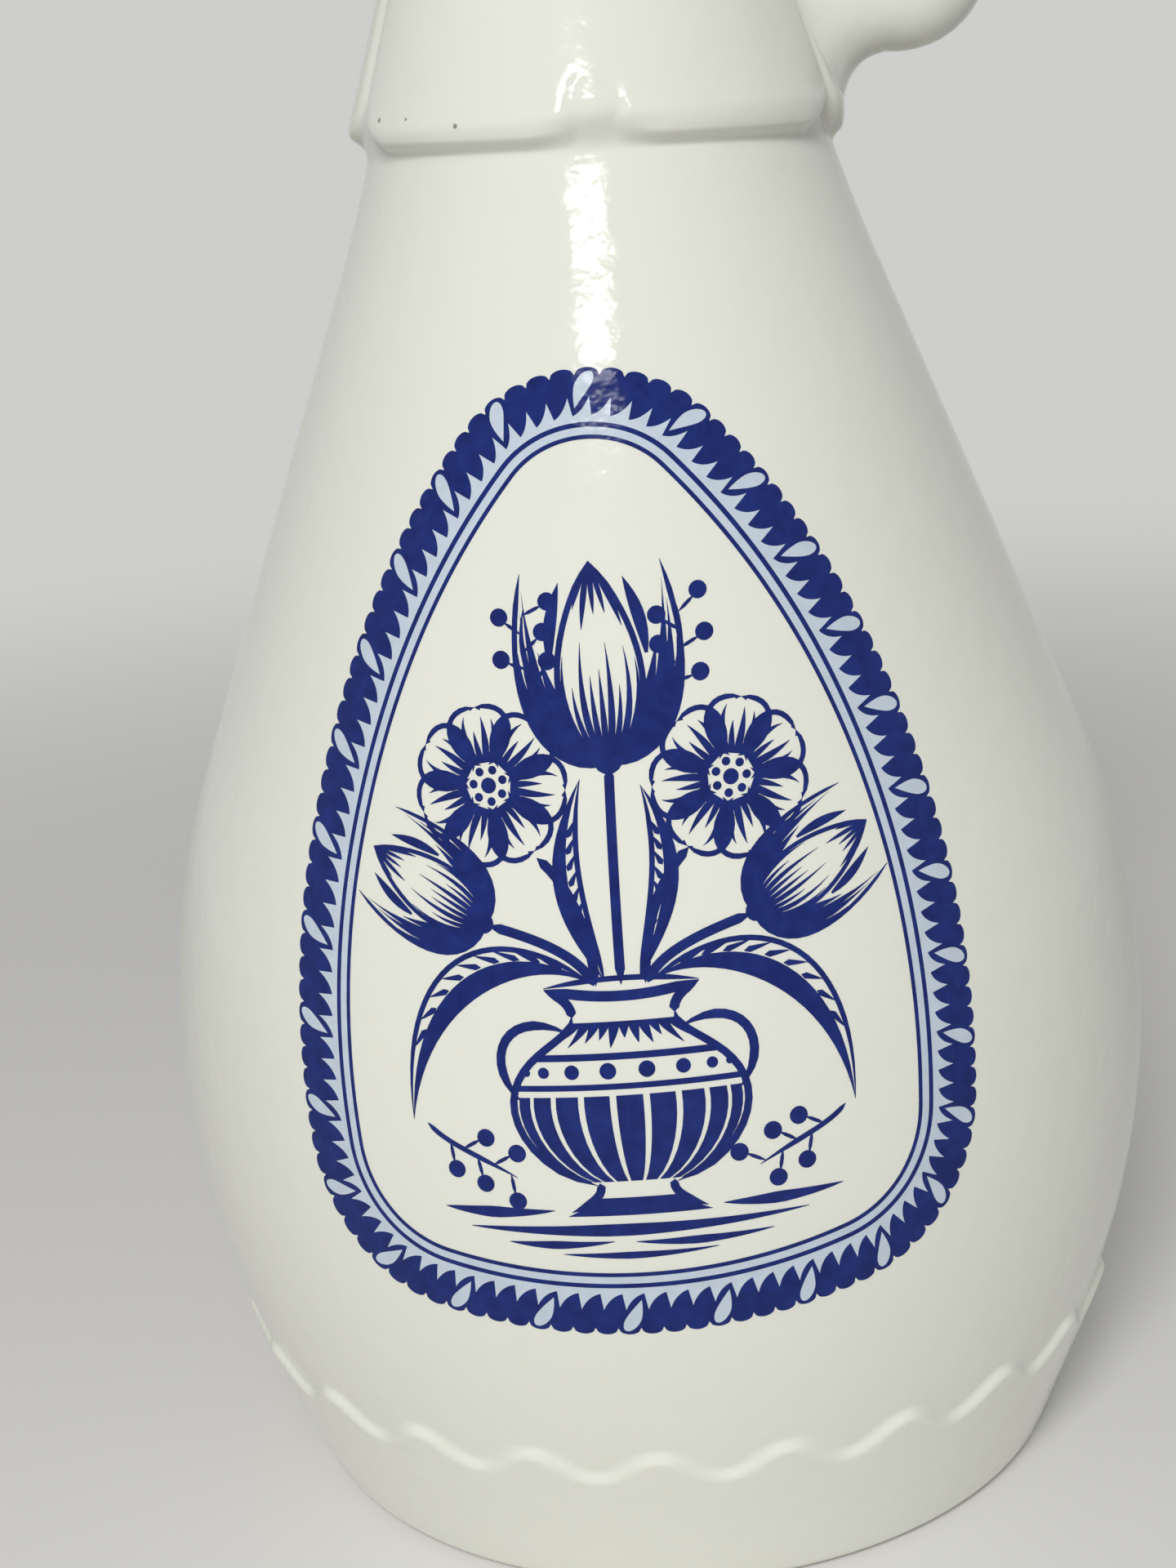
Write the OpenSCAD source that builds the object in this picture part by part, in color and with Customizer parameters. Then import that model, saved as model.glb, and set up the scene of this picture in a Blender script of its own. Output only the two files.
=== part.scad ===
// Handled liqueur bottle of glazed ware: a pear-shaped body on a scalloped foot,
// a lobed sleeve round the neck, an ear handle and a corked stopper.
// Millimetres. The origin is the centre of the foot, +Z is up, the handle is on +X
// and the decorated front faces -Y.

/* [Body] */
// Radius of the belly at its widest
belly_r = 52.5; // [49:0.5:57]
// Height of the widest place above the table
belly_z = 46.5; // [43:0.5:51]
// Radius of the belly's curve, seen from the side
flank_arc = 86; // [80:1:98]
// Slope of the shoulder, in degrees from upright
shoulder_slope = 21.3; // [19.5:0.1:23]
// Radius of the hollow curve at the top of the shoulder
hollow_arc = 150; // [120:5:200]
// Body radius where the hollow curve starts
hollow_r = 27.1; // [25:0.1:29]
// Thickness of the wall
wall = 3.5; // [2.5:0.1:4.5]
// Thickness of the floor inside the bottle
floor_t = 6; // [5:0.5:9]

/* [Foot] */
// Height of the skirt at the peaks of its scallops
skirt_h = 19.4; // [15:0.1:24]
// How far the top edge of the skirt stands out from the body
skirt_proud = 0.9; // [0.6:0.1:1.6]
// Slope of the skirt, in degrees from upright
skirt_slope = 17; // [13:0.5:20]
// Number of scallops round the skirt
scallops = 24; // [18:1:30]
// Height of a scallop from valley to peak
scallop_d = 3; // [2:0.1:3.5]
// Turn of the scallops from the front, in degrees
scallop_turn = -3.6; // [-7:0.1:7]
// Radius of the rounded heel
heel_round = 2.4; // [1.5:0.1:3.5]
// Width of the flat ring that the bottle stands on
rest_w = 4.5; // [3:0.5:7]
// Depth of the hollow under the foot
push_up = 2.5; // [1.5:0.1:3.5]

/* [Neck sleeve] */
// Radius of the sleeve's hem at its fullest
hem_r = 24.9; // [23.5:0.1:26]
// Radius of the hem's rounded edge
hem_round = 3.3; // [2.5:0.1:4]
// How far the hem overhangs the shoulder
hem_overhang = 1.6; // [1:0.1:2.2]
// Slope of the sleeve, in degrees from upright
sleeve_slope = 18.3; // [17:0.1:20]
// Radius of the hollow curve from the sleeve to the straight neck
neck_arc = 36; // [30:1:42]
// Radius of the straight neck
neck_r = 14.2; // [13.6:0.1:15]
// Angle from the front to the side groove of the front panel, in degrees
panel_half = 67; // [60:1:72]
// Radius of the grooves between the panels
groove_round = 1.2; // [0.9:0.1:1.5]
// Depth of the grooves between the panels
groove_d = 0.55; // [0.4:0.05:0.8]
// Radius of the notch in the hem at each groove and at the middle of the front and back
notch_r = 2.6; // [2:0.1:3]

/* [Lip] */
// Height from the handle's upper limb to the underside of the lip
lip_rise = 8.5; // [8:0.5:12]
// Height of the rounded lip
lip_h = 9; // [7:0.5:10]
// Radius of the lip
lip_r = 17; // [16.5:0.1:19]
// Radius of the mouth
mouth_r = 9.7; // [9.3:0.1:10]
// Radius of the hollow curve inside, from the shoulder to the mouth
inner_arc = 60; // [50:1:75]

/* [Handle] */
// Radius of the handle's bar
bar_r = 5.5; // [4.5:0.1:6]
// Height of the lower limb above the fullest place of the hem
limb_rise = 9.6; // [9:0.1:11]
// Distance of the handle's heel beyond the hem
heel_reach = 8.1; // [6:0.1:11]
// How much fuller the heel is than the bar
heel_swell = 0.2; // [0.1:0.05:0.4]
// Lean of the grip where it leaves the heel, in degrees from upright
grip_lean = 30; // [26:1:34]
// Height of the upper limb above the start of the straight neck
limb_seat = 9.2; // [8.8:0.1:12]
// Radius of the fillet where the lower limb joins the sleeve
root_fillet = 9; // [6:0.5:10]
// Distance from the heel to the start of that fillet
root_run = 5; // [4:0.5:6]
// Radius of the fillet where the upper limb joins the neck
top_fillet = 3; // [2:0.5:3.5]
// How far the start of the upper fillet lies inside the bar
top_sink = 0.9; // [0.6:0.1:1.2]
// Part of a quarter turn that the fillets sweep, in degrees
fillet_sweep = 60; // [55:1:70]

/* [Stopper] */
// Radius of the stopper's flange
flange_r = 15; // [14:0.1:16]
// Thickness of the flange
flange_t = 3.4; // [3:0.1:4.5]
// Radius of the waist above the flange
waist_r = 7.5; // [6:0.1:8.5]
// Radius of the hollow curve of the waist
waist_arc = 3.2; // [2.5:0.1:4]
// Radius of the ball
ball_r = 13; // [11.5:0.1:14]
// Depth that the ball sits into its waist
ball_sink = 0.4; // [0.2:0.1:1]
// Length of the cork
cork_l = 22; // [18:0.5:26]
// Taper of the cork, on the radius over its length
cork_taper = 0.6; // [0.3:0.1:1]
// Radius of the spigot that the cork is glued on
spigot_r = 4.2; // [3.5:0.1:5]
// Length of cork past the end of the spigot
cork_tail = 2; // [1:0.5:4]
// Bevel round the bottom of the cork
cork_bevel = 0.8; // [0.4:0.1:1.5]
// Gap between the cork and the mouth
cork_gap = 0.3; // [0.2:0.05:0.4]
// Gap for glue between the spigot and the cork
glue_gap = 0.1; // [0.05:0.05:0.2]

/* [Hidden] */
$fn = 96;
ware = [0.93, 0.925, 0.88];
cork = [0.76, 0.58, 0.38];
eps = 0.01;
over = 3;
seam_turn = 140;

// Body: the radius below the shoulder, and where each stretch of the outline starts
function body_r(z) = belly_r - flank_arc + sqrt(flank_arc * flank_arc - pow(z - belly_z, 2));
shoulder_at = [belly_r - flank_arc, belly_z] + flank_arc * [cos(shoulder_slope), sin(shoulder_slope)];
hollow_at = [hollow_r, shoulder_at.y + (shoulder_at.x - hollow_r) / tan(shoulder_slope)];
hollow_c = hollow_at + hollow_arc * [cos(shoulder_slope), sin(shoulder_slope)];
bore_from_r = mouth_r + inner_arc * (1 - cos(shoulder_slope));

// Foot: the skirt stands on the body, so it starts from the body's radius at its top edge
skirt_top_r = body_r(skirt_h) + skirt_proud;
foot_r = skirt_top_r - skirt_h * tan(skirt_slope);
heel_c = [foot_r - heel_round * tan(45 - skirt_slope / 2), heel_round];
heel_end = heel_c + heel_round * [cos(skirt_slope), -sin(skirt_slope)];
push_up_r = heel_c.x - rest_w;
push_up_ball = (push_up_r * push_up_r + push_up * push_up) / (2 * push_up);
scallop_z = skirt_h - scallop_d / 2;
scallop_pitch = 2 * PI * skirt_top_r / scallops;
// Radius at which peaks and valleys would just touch; they stay a little smaller
scallop_touch_r = (pow(scallop_pitch / 2, 2) + scallop_d * scallop_d) / (4 * scallop_d);
scallop_ease = 0.94;
scallop_r = scallop_ease * scallop_touch_r;

// Sleeve: it starts where the shoulder has narrowed to the radius under the hem
groove_r = hem_r - hem_overhang;
groove_z = hollow_c.y - sqrt(hollow_arc * hollow_arc - pow(hollow_c.x - groove_r, 2));
hem_z = groove_z + sqrt(hem_round * hem_round - pow(hem_round - hem_overhang, 2));
sleeve_at = [hem_r - hem_round, hem_z] + hem_round * [cos(sleeve_slope), sin(sleeve_slope)];
neck_from_r = neck_r + neck_arc * (1 - cos(sleeve_slope));
neck_at = [neck_from_r, sleeve_at.y + (sleeve_at.x - neck_from_r) / tan(sleeve_slope)];
neck_z = neck_at.y + neck_arc * sin(sleeve_slope);
top_z = neck_z + limb_seat;
lip_z = top_z + lip_rise + lip_h;
sleeve_out = [cos(sleeve_slope), sin(sleeve_slope)];
// The grooves run out to nothing at the top of the sleeve
panel_groove = [sleeve_at + (groove_round - groove_d) * sleeve_out, neck_at + groove_round * sleeve_out];

// Handle, in the plane through the bottle's axis: x outwards, y upwards
heel_at = [hem_r + heel_reach, hem_z + limb_rise];
grip_arc = (top_z - heel_at.y) / (1 + sin(grip_lean));
grip_c = heel_at + grip_arc * [-cos(grip_lean), sin(grip_lean)];
top_root = [neck_r + top_fillet * sin(fillet_sweep) + eps, top_z];

// Stopper
flange_top = lip_z + flange_t;
ball_z = flange_top + waist_arc + sqrt(ball_r * ball_r - waist_r * waist_r) - ball_sink;
cork_r = mouth_r - cork_gap;
spigot_l = cork_l - cork_tail;

// Round form about the axis, with its seam at the back, clear of the handle and the grooves
module turned() {
    rotate([0, 0, seam_turn]) rotate_extrude() children();
}

// Half outline of a swelling form: a round side, a straight slope, a hollow curve and a straight neck
module swell(side_r, side_z, side_arc, slope, curve_r, curve_arc, low, high) {
    side_c = [side_r - side_arc, side_z];
    slope_from = side_c + side_arc * [cos(slope), sin(slope)];
    curve_from = [curve_r, slope_from.y + (slope_from.x - curve_r) / tan(slope)];
    curve_c = curve_from + curve_arc * [cos(slope), sin(slope)];
    straight_r = curve_c.x - curve_arc;
    base = side_c.x > 0 ? [[0, side_z], side_c] : [[0, side_z]];
    neck = high > curve_c.y
        ? [[curve_r, curve_c.y], [straight_r, curve_c.y], [straight_r, high]]
        : [[curve_r, high]];
    intersection() {
        translate(side_c) circle(side_arc);
        translate([0, low]) square([side_r + over, slope_from.y - low]);
    }
    difference() {
        polygon(concat(base, [slope_from, curve_from], neck, [[0, high]]));
        translate(curve_c) circle(curve_arc);
    }
}

// Straight round bar between two places in the handle's plane
module bar(from, to, r) {
    run = to - from;
    translate([from.x, 0, from.y]) rotate([0, atan2(run.x, run.y), 0]) cylinder(r = r, h = norm(run));
}

// Trumpet end of a bar: straight, then widening in a hollow curve, then straight on into the ware
module trumpet(from, towards, run, r, fillet) {
    curve_r = r + fillet * (1 - cos(fillet_sweep));
    end_l = run + fillet * sin(fillet_sweep) + over;
    translate([from.x, 0, from.y]) rotate([0, atan2(towards.x, towards.y), 0]) turned()
        difference() {
            polygon([[0, 0], [r, 0], [r, run], [curve_r, run], [curve_r, end_l], [0, end_l]]);
            translate([r + fillet, run]) circle(fillet);
        }
}

// Outline of one scallop's cut: a round valley between the flanks of two round peaks
module scallop_outline() {
    difference() {
        translate([-scallop_pitch / 2, scallop_z])
            square([scallop_pitch, scallop_d / 2 + over]);
        for (side = [-1, 1])
            translate([side * scallop_pitch / 2, skirt_h - scallop_r]) circle(scallop_r);
    }
    translate([0, skirt_h - scallop_d + scallop_r]) circle(scallop_r);
}

module body_form() {
    turned()
        swell(belly_r, belly_z, flank_arc, shoulder_slope, hollow_r, hollow_arc, 0, hem_z);
}

module skirt_outline() {
    inside = wall / 2;
    polygon([
        [body_r(0) - inside, 0],
        [heel_c.x, 0],
        heel_c,
        heel_end,
        [skirt_top_r, skirt_h],
        [body_r(skirt_h) - inside, skirt_h]
    ]);
    translate(heel_c) circle(heel_round);
}

module skirt_form() {
    cut_from = body_r(0) - wall;
    difference() {
        turned() skirt_outline();
        for (i = [0 : scallops - 1])
            rotate([0, 0, scallop_turn - 90 + (i + 0.5) * 360 / scallops])
                translate([cut_from, 0, 0]) rotate([90, 0, 90])
                    linear_extrude(skirt_top_r + over - cut_from) scallop_outline();
    }
}

// Radial notch in the hem, at an angle from the front
module hem_notch(angle) {
    rotate([0, 0, angle - 90])
        translate([groove_r - hem_round, 0, groove_z - (notch_r - hem_overhang)])
            rotate([0, 90, 0]) cylinder(r = notch_r, h = hem_round + hem_overhang + over);
}

module sleeve_form() {
    turned()
        swell(hem_r, hem_z, hem_round, sleeve_slope, neck_from_r, neck_arc, groove_z - hem_round, lip_z);
}

// The sleeve with its panels parted by grooves and its hem notched
module panelled_sleeve() {
    difference() {
        sleeve_form();
        for (side = [0, 180]) {
            hem_notch(side);
            for (angle = [side - panel_half, side + panel_half]) {
                hem_notch(angle);
                rotate([0, 0, angle - 90])
                    bar(2 * panel_groove[0] - panel_groove[1], panel_groove[1], groove_round);
            }
        }
    }
}

module lip_form() {
    bead_r = lip_h / 2;
    translate([0, 0, lip_z - lip_h]) turned() {
        square([lip_r - bead_r, lip_h]);
        translate([lip_r - bead_r, bead_r]) circle(bead_r);
    }
}

module cavity_form() {
    turned()
        swell(belly_r - wall, belly_z, flank_arc - wall, shoulder_slope, bore_from_r, inner_arc,
            floor_t, lip_z + over);
}

module bottle() {
    color(ware)
    difference() {
        union() {
            body_form();
            skirt_form();
            panelled_sleeve();
            lip_form();
        }
        cavity_form();
        translate([0, 0, push_up - push_up_ball]) sphere(push_up_ball);
    }
}

module handle() {
    color(ware)
    difference() {
        union() {
            trumpet(heel_at, -sleeve_out, root_run, bar_r, root_fillet);
            translate([heel_at.x, 0, heel_at.y]) sphere(bar_r + heel_swell);
            translate([grip_c.x, 0, grip_c.y]) rotate([90, 0, 0]) rotate([0, 0, -grip_lean])
                rotate_extrude(angle = 90 + grip_lean) translate([grip_arc, 0]) circle(bar_r);
            trumpet(top_root, [-1, 0], eps, bar_r - top_sink, top_fillet);
        }
        body_form();
        sleeve_form();
        cylinder(r = belly_r, h = hem_z);
    }
}

module stopper_head() {
    rim = flange_t / 2;
    color(ware) {
        rotate_extrude() {
            translate([0, lip_z]) square([flange_r - rim, flange_t]);
            translate([flange_r - rim, lip_z + rim]) circle(rim);
            difference() {
                translate([0, flange_top - eps]) square([waist_r + waist_arc, waist_arc + eps]);
                translate([waist_r + waist_arc, flange_top + waist_arc]) circle(waist_arc);
            }
        }
        translate([0, 0, ball_z]) sphere(ball_r);
        translate([0, 0, lip_z - spigot_l]) cylinder(r = spigot_r, h = spigot_l + eps);
    }
}

module stopper_cork() {
    bore = spigot_r + glue_gap;
    foot = cork_r - cork_taper;
    color(cork)
    translate([0, 0, lip_z - cork_l]) rotate_extrude()
        polygon([
            [bore, 0],
            [foot - cork_bevel, 0],
            [foot, cork_bevel],
            [cork_r, cork_l],
            [bore, cork_l]
        ]);
}

bottle();
handle();
stopper_head();
stopper_cork();
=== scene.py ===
"""Looks of a handled liqueur bottle: glazed ware, a blue print, an ear handle and a corked stopper.

Lengths are in metres. The frame has its origin under the foot, +Z up, the handle on +X and the
decorated front facing -Y. Angles round the bottle run from the front towards the handle.
"""

import math

import bmesh
import bpy
from mathutils import Matrix, Vector, noise


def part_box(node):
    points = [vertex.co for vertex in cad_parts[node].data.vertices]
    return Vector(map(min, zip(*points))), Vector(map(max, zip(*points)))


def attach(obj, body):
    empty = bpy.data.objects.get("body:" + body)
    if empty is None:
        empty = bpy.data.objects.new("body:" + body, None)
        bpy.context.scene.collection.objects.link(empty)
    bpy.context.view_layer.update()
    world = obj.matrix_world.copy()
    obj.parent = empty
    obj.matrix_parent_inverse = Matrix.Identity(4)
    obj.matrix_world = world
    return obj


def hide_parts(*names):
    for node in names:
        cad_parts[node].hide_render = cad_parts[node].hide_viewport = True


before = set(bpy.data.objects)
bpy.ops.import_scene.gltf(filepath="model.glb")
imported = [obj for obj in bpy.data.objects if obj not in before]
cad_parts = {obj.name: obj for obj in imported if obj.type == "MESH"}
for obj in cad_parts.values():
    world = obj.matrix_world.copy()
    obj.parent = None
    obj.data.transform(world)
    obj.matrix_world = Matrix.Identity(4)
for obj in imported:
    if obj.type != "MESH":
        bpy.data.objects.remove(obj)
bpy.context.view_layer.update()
_, BOTTLE_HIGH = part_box("bottle")
_, HEAD_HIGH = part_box("stopper_head")
CORK_LOW, CORK_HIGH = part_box("stopper_cork")

bl_info = {
    "name": "Handled Liqueur Bottle",
    "version": (1, 0, 0),
    "blender": (4, 5, 0),
    "location": "View3D > Sidebar > Bottle",
    "description": "Builds a glazed bottle with a blue print, an ear handle and a corked stopper",
    "category": "Add Mesh",
}

MM = 0.001
# The ware stays this far inside the solid, so that the print on it does too
GLAZE_INSET = 0.05 * MM
WELD = 0.001 * MM
# Edges that turn by more than this are shaded sharp
SHARP_EDGE = math.radians(60)


# Property helpers

def length(name, description, millimetres):
    return bpy.props.FloatProperty(
        name=name, description=description, default=millimetres * MM, unit="LENGTH", precision=5)


def angle(name, description, degrees):
    return bpy.props.FloatProperty(
        name=name, description=description, default=math.radians(degrees), subtype="ANGLE")


def count(name, description, default):
    return bpy.props.IntProperty(name=name, description=description, default=default, min=1)


def share(name, description, default):
    return bpy.props.FloatProperty(
        name=name, description=description, default=default, subtype="FACTOR")


def power(name, description, watts):
    return bpy.props.FloatProperty(name=name, description=description, default=watts, unit="POWER")


def colour(name, description, default):
    return bpy.props.FloatVectorProperty(
        name=name, description=description, default=default, size=3, subtype="COLOR", min=0, max=1)


class BottleSizes(bpy.types.PropertyGroup):
    """Sizes of the glazed ware"""

    belly_radius: length("Belly radius", "Radius at the widest place", (BOTTLE_HIGH.x - GLAZE_INSET) / MM)
    belly_height: length("Belly height", "Height of the widest place", 46.5)
    flank_radius: length("Flank radius", "Radius of the belly's curve, seen from the side", 86)
    shoulder_slope: angle("Shoulder slope", "Slope of the shoulder from upright", 21.3)
    hollow_start: length("Hollow start", "Body radius where the hollow curve starts", 27.1)
    hollow_radius: length("Hollow radius", "Radius of the hollow curve above the shoulder", 150)
    wall: length("Wall", "Thickness of the wall", 3.5)
    floor: length("Floor", "Thickness of the floor inside", 6)
    skirt_height: length("Skirt height", "Height of the skirt at its peaks", 19.4)
    skirt_proud: length("Skirt proud", "How far the skirt stands out at its top edge", 0.9)
    skirt_slope: angle("Skirt slope", "Slope of the skirt from upright", 21.5)
    scallops: count("Scallops", "Number of scallops round the skirt", 24)
    scallop_depth: length("Scallop depth", "Height of a scallop from valley to peak", 3)
    scallop_turn: angle("Scallop turn", "Turn of a peak from the front", -3.6)
    ledge_above: length("Ledge above", "How far the soft ledge reaches over the edge", 0.35)
    ledge_below: length("Ledge below", "How far the soft ledge reaches under the edge", 1.15)
    heel_round: length("Heel round", "Radius of the rounded heel", 2.4)
    rest_width: length("Rest width", "Width of the ring that the bottle stands on", 4.5)
    push_up: length("Push-up", "Depth of the hollow under the foot", 2.5)
    hem_radius: length("Hem radius", "Radius of the sleeve's hem at its fullest", 24.9)
    hem_roll: length("Hem roll", "Radius of the hem's rolled edge", 3.3)
    hem_overhang: length("Hem overhang", "How far the hem stands over the shoulder", 1.6)
    sleeve_slope: angle("Sleeve slope", "Slope of the sleeve from upright", 18.3)
    neck_curve: length("Neck curve", "Radius of the curve from the sleeve to the neck", 36)
    neck_radius: length("Neck radius", "Radius of the straight neck", 14.2)
    panel_half: angle("Panel half angle", "Angle from the front to the panel's side groove", 69)
    panel_lift: length("Panel lift", "Height of the front hem over the shoulder's end", 0.4)
    panel_tilt: length("Panel tilt", "How far the front hem leans down towards the handle", 0.6)
    panel_corner: length("Panel corner", "Radius of the front panel's lower corners", 6.5)
    panel_roll: length("Panel roll", "Width of the rounding along the front panel's edge", 2.7)
    tongue_lift: length("Tongue lift", "Height of the side tongues over the shoulder's end", 0.3)
    tongue_tilt: length("Tongue tilt", "How far the side tongue at the handle lies lower", 1.3)
    tongue_corner: length("Tongue corner", "Radius of the side tongues' corners", 7)
    tongue_roll: length("Tongue roll", "Width of the rounding along the side tongues", 3)
    hem_drop: length("Hem drop", "How far the hem's relief may reach under the shoulder's end", 1.3)
    notch_radius: length("Notch radius", "Radius of the notch in the middle of the hem", 3.2)
    notch_roll: length("Notch roll", "Extra width of the rounding at the notch", 1.9)
    groove_depth: length("Groove depth", "Depth of the grooves between the panels", 0.7)
    lip_height: length("Lip height", "Height of the rounded lip", 9)
    lip_radius: length("Lip radius", "Radius of the lip", 17)
    lip_fillet: length("Lip fillet", "Radius of the fillet under the lip", 1.2)
    mouth_radius: length("Mouth radius", "Radius of the mouth", 9.7)
    mouth_round: length("Mouth round", "Rounding of the mouth's edge", 0.7)
    inner_curve: length("Inner curve", "Radius of the curve inside the neck", 60)
    columns: count("Columns", "Mesh columns round the bottle", 400)


class HandleSizes(bpy.types.PropertyGroup):
    """Sizes of the ear handle"""

    bar_radius: length("Bar radius", "Radius of the bar", 5.5)
    grip_radius: length("Grip radius", "Radius of the grip's bow", 25.523)
    grip_reach: length("Grip reach", "Distance of the bow's centre from the bottle's axis", 10.897)
    grip_height: length("Grip height", "Height of the bow's centre", 163.996)
    limb_height: length("Limb height", "Height of the lower limb's middle", 151.3)
    heel_drop: length("Heel drop", "How far the heel's corner lies under the limb", 0.5)
    root_height: length("Root height", "Height of the lower root's middle on the sleeve", 150.3)
    limb_end: length("Limb end", "Distance from the axis at which the lower fillet ends", 29.8)
    heel_reach: length("Heel reach", "Distance from the axis of the heel's corner", 33.8)
    bow_from: angle("Bow from", "Angle at which the bow starts, from level", -22)
    root_side: length("Root side", "Reach of the lower fillet to each side", 8.6)
    root_up: length("Root up", "Reach of the lower fillet upwards", 9.5)
    root_down: length("Root down", "Reach of the lower fillet down to the hem", 9.4)
    root_fill: length("Root fill", "How much fuller the lower fillet is on its underside", 2)
    top_reach: length("Top reach", "Reach of the upper fillet round the limb", 8.2)
    top_run: length("Top run", "Length of the upper fillet along the limb", 3.6)
    sink: length("Sink", "How far the fillets end under the ware", 0.08)
    bury: length("Bury", "How far the closed ends lie in the ware", 1.2)
    segments: count("Segments", "Mesh segments round the bar", 64)


class StopperSizes(bpy.types.PropertyGroup):
    """Sizes of the stopper's head and cork"""

    flange_radius: length("Flange radius", "Radius of the flange on the lip", 15)
    flange_thickness: length("Flange thickness", "Thickness of the flange", 3.4)
    waist_radius: length("Waist radius", "Radius of the waist", 7.5)
    waist_curve: length("Waist curve", "Radius of the waist's hollow curve", 3.2)
    ball_radius: length("Ball radius", "Radius of the ball", 13)
    spigot_radius: length("Spigot radius", "Radius of the spigot in the cork", 4.2)
    spigot_length: length("Spigot length", "Length of the spigot", 20)
    glue_gap: length("Glue gap", "Gap for glue round the spigot", 0.1)
    cork_taper: length("Cork taper", "Taper of the cork on its radius", 0.6)
    cork_bevel: length("Cork bevel", "Bevel round the bottom of the cork", 0.8)
    pore_depth: length("Pore depth", "Depth of the pores in the cork", 0.22)
    columns: count("Columns", "Mesh columns round the stopper", 128)


class PrintSizes(bpy.types.PropertyGroup):
    """Sizes of the blue print, measured along the ware's surface"""

    turn: angle("Turn", "Turn of the print from the front", -4)
    tilt: angle("Tilt", "Lean of the print on the ware", 1.3)
    bottom: length("Bottom", "Way up the side to the frame's lower end", 43)
    top: length("Top", "Way up the side to the frame's upper end", 120.1)
    half_width: length("Half width", "Half the frame's width at its widest", 27.5)
    widest: length("Widest", "Way up the side to the frame's widest place", 61.7)
    side_radius: length("Side radius", "Radius of the frame's sides", 84.5)
    bottom_radius: length("Bottom radius", "Radius of the frame's lower end", 86)
    corner_radius: length("Corner radius", "Radius of the frame's lower corners", 10.8)
    inner_line: length("Inner line", "Width of the inner line", 0.4)
    outer_line: length("Outer line", "Width of the outer line", 0.46)
    line_gap: length("Line gap", "Distance between the two lines", 1.15)
    groups: count("Groups", "Groups of lobes round the frame", 29)
    lobes: count("Lobes", "Filled lobes in a group, before its hollow drop", 3)
    extra_lobe: count("Extra lobe", "Number of the lobe that makes one group longer", 57)
    lobe_shift: share("Lobe shift", "Shift of all lobes, as a share of the way round", -0.012)
    lobe_swing: share("Lobe swing", "How far the spacing swings once in the way round", 0.011)
    swing_peak: share("Swing peak", "Share of the way round at which the swing is largest", 0.88)
    lobe_ripple: share("Lobe ripple", "How far the spacing swings three times in the way round", 0.0027)
    ripple_peak: share("Ripple peak", "Share of the way round at which the ripple is largest", 0.09)
    tip: length("Tip", "Distance of the lobes' tips from the inner line", 2)
    notch: length("Notch", "Distance of the notches between the tips", 3.75)
    valley: length("Valley", "Distance of the valleys between the rounded ends", 5.75)
    crest: length("Crest", "Distance of the rounded ends", 6.45)
    lean: share("Lean", "Lean of a tip, as a share of the lobe's pitch", 0.8)
    drop_top: length("Drop top", "Distance of a hollow drop's rounded end", 6.1)
    drop_tip: length("Drop tip", "Distance of a hollow drop's tip", 2.7)
    drop_width: share("Drop width", "Width of a hollow drop, as a share of the lobe's pitch", 0.73)
    picture_base: length("Picture base", "Way up the side to the picture's base line", 48.5)
    film: length("Film", "Thickness of the print on the ware", 0.02)
    key: length("Key", "How far the print reaches into the glaze", 0.02)


class FinishColours(bpy.types.PropertyGroup):
    """Colours of the finishes"""

    ware: colour("Ware", "Warm white of the glaze", (0.82, 0.82, 0.72))
    ware_cool: colour("Ware, cool", "Cooler white of the glaze where it lies thicker", (0.785, 0.8, 0.725))
    pit: colour("Pit", "Dark of the pinholes in the glaze", (0.26, 0.25, 0.21))
    blue: colour("Blue", "Deep blue of the print", (0.0025, 0.012, 0.125))
    blue_thin: colour("Blue, thin", "Blue where the print is thinner", (0.007, 0.024, 0.19))
    tint: colour("Tint", "Pale blue between the lobes and the lines", (0.53, 0.61, 0.7))
    tint_thin: colour("Tint, thin", "Pale blue where it is thinner", (0.59, 0.665, 0.745))
    cork: colour("Cork", "Light brown of the cork", (0.56, 0.36, 0.19))
    cork_dark: colour("Cork, dark", "Brown of the cork's grain and pores", (0.2, 0.1, 0.045))
    floor: colour("Floor", "Pale floor", (0.8, 0.79, 0.775))
    backdrop: colour("Backdrop", "Pale surroundings", (0.62, 0.615, 0.605))


class StudioSettings(bpy.types.PropertyGroup):
    """Camera and lights"""

    camera_back: length("Camera back", "Distance of the camera in front of the bottle's axis", 248.4)
    camera_height: length("Camera height", "Height of the camera", 142.6)
    pitch: angle("Pitch", "Downward tilt of the camera", 15.8)
    yaw: angle("Yaw", "Turn of the camera towards the handle", -1.36)
    roll: angle("Roll", "Roll of the camera", -4.44)
    lens: share("Lens", "Focal length, as a share of the picture's height", 1.5177)
    ambient: share("Ambient", "Strength of the light from all round", 0.34)
    key_power: power("Key power", "Power of the softbox", 4.4)
    shine_power: power("Shine power", "Power of the lamp that shows in the glaze", 0.073)
    floor_radius: length("Floor radius", "Radius of the floor", 6000)
    floor_near: length("Floor near", "Distance from the bottle at which the floor starts to fade", 140)
    floor_far: length("Floor far", "Distance at which the floor has the surroundings' tone", 620)


# Shapes shared by the pieces

def ramp(low, high, value):
    """Smooth step from 0 at low to 1 at high"""
    t = min(max((value - low) / (high - low), 0), 1)
    return t * t * (3 - 2 * t)


def polar(radius, turn, height):
    """Point at an angle round the bottle, from the front towards the handle"""
    return Vector((radius * math.sin(turn), -radius * math.cos(turn), height))


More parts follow.
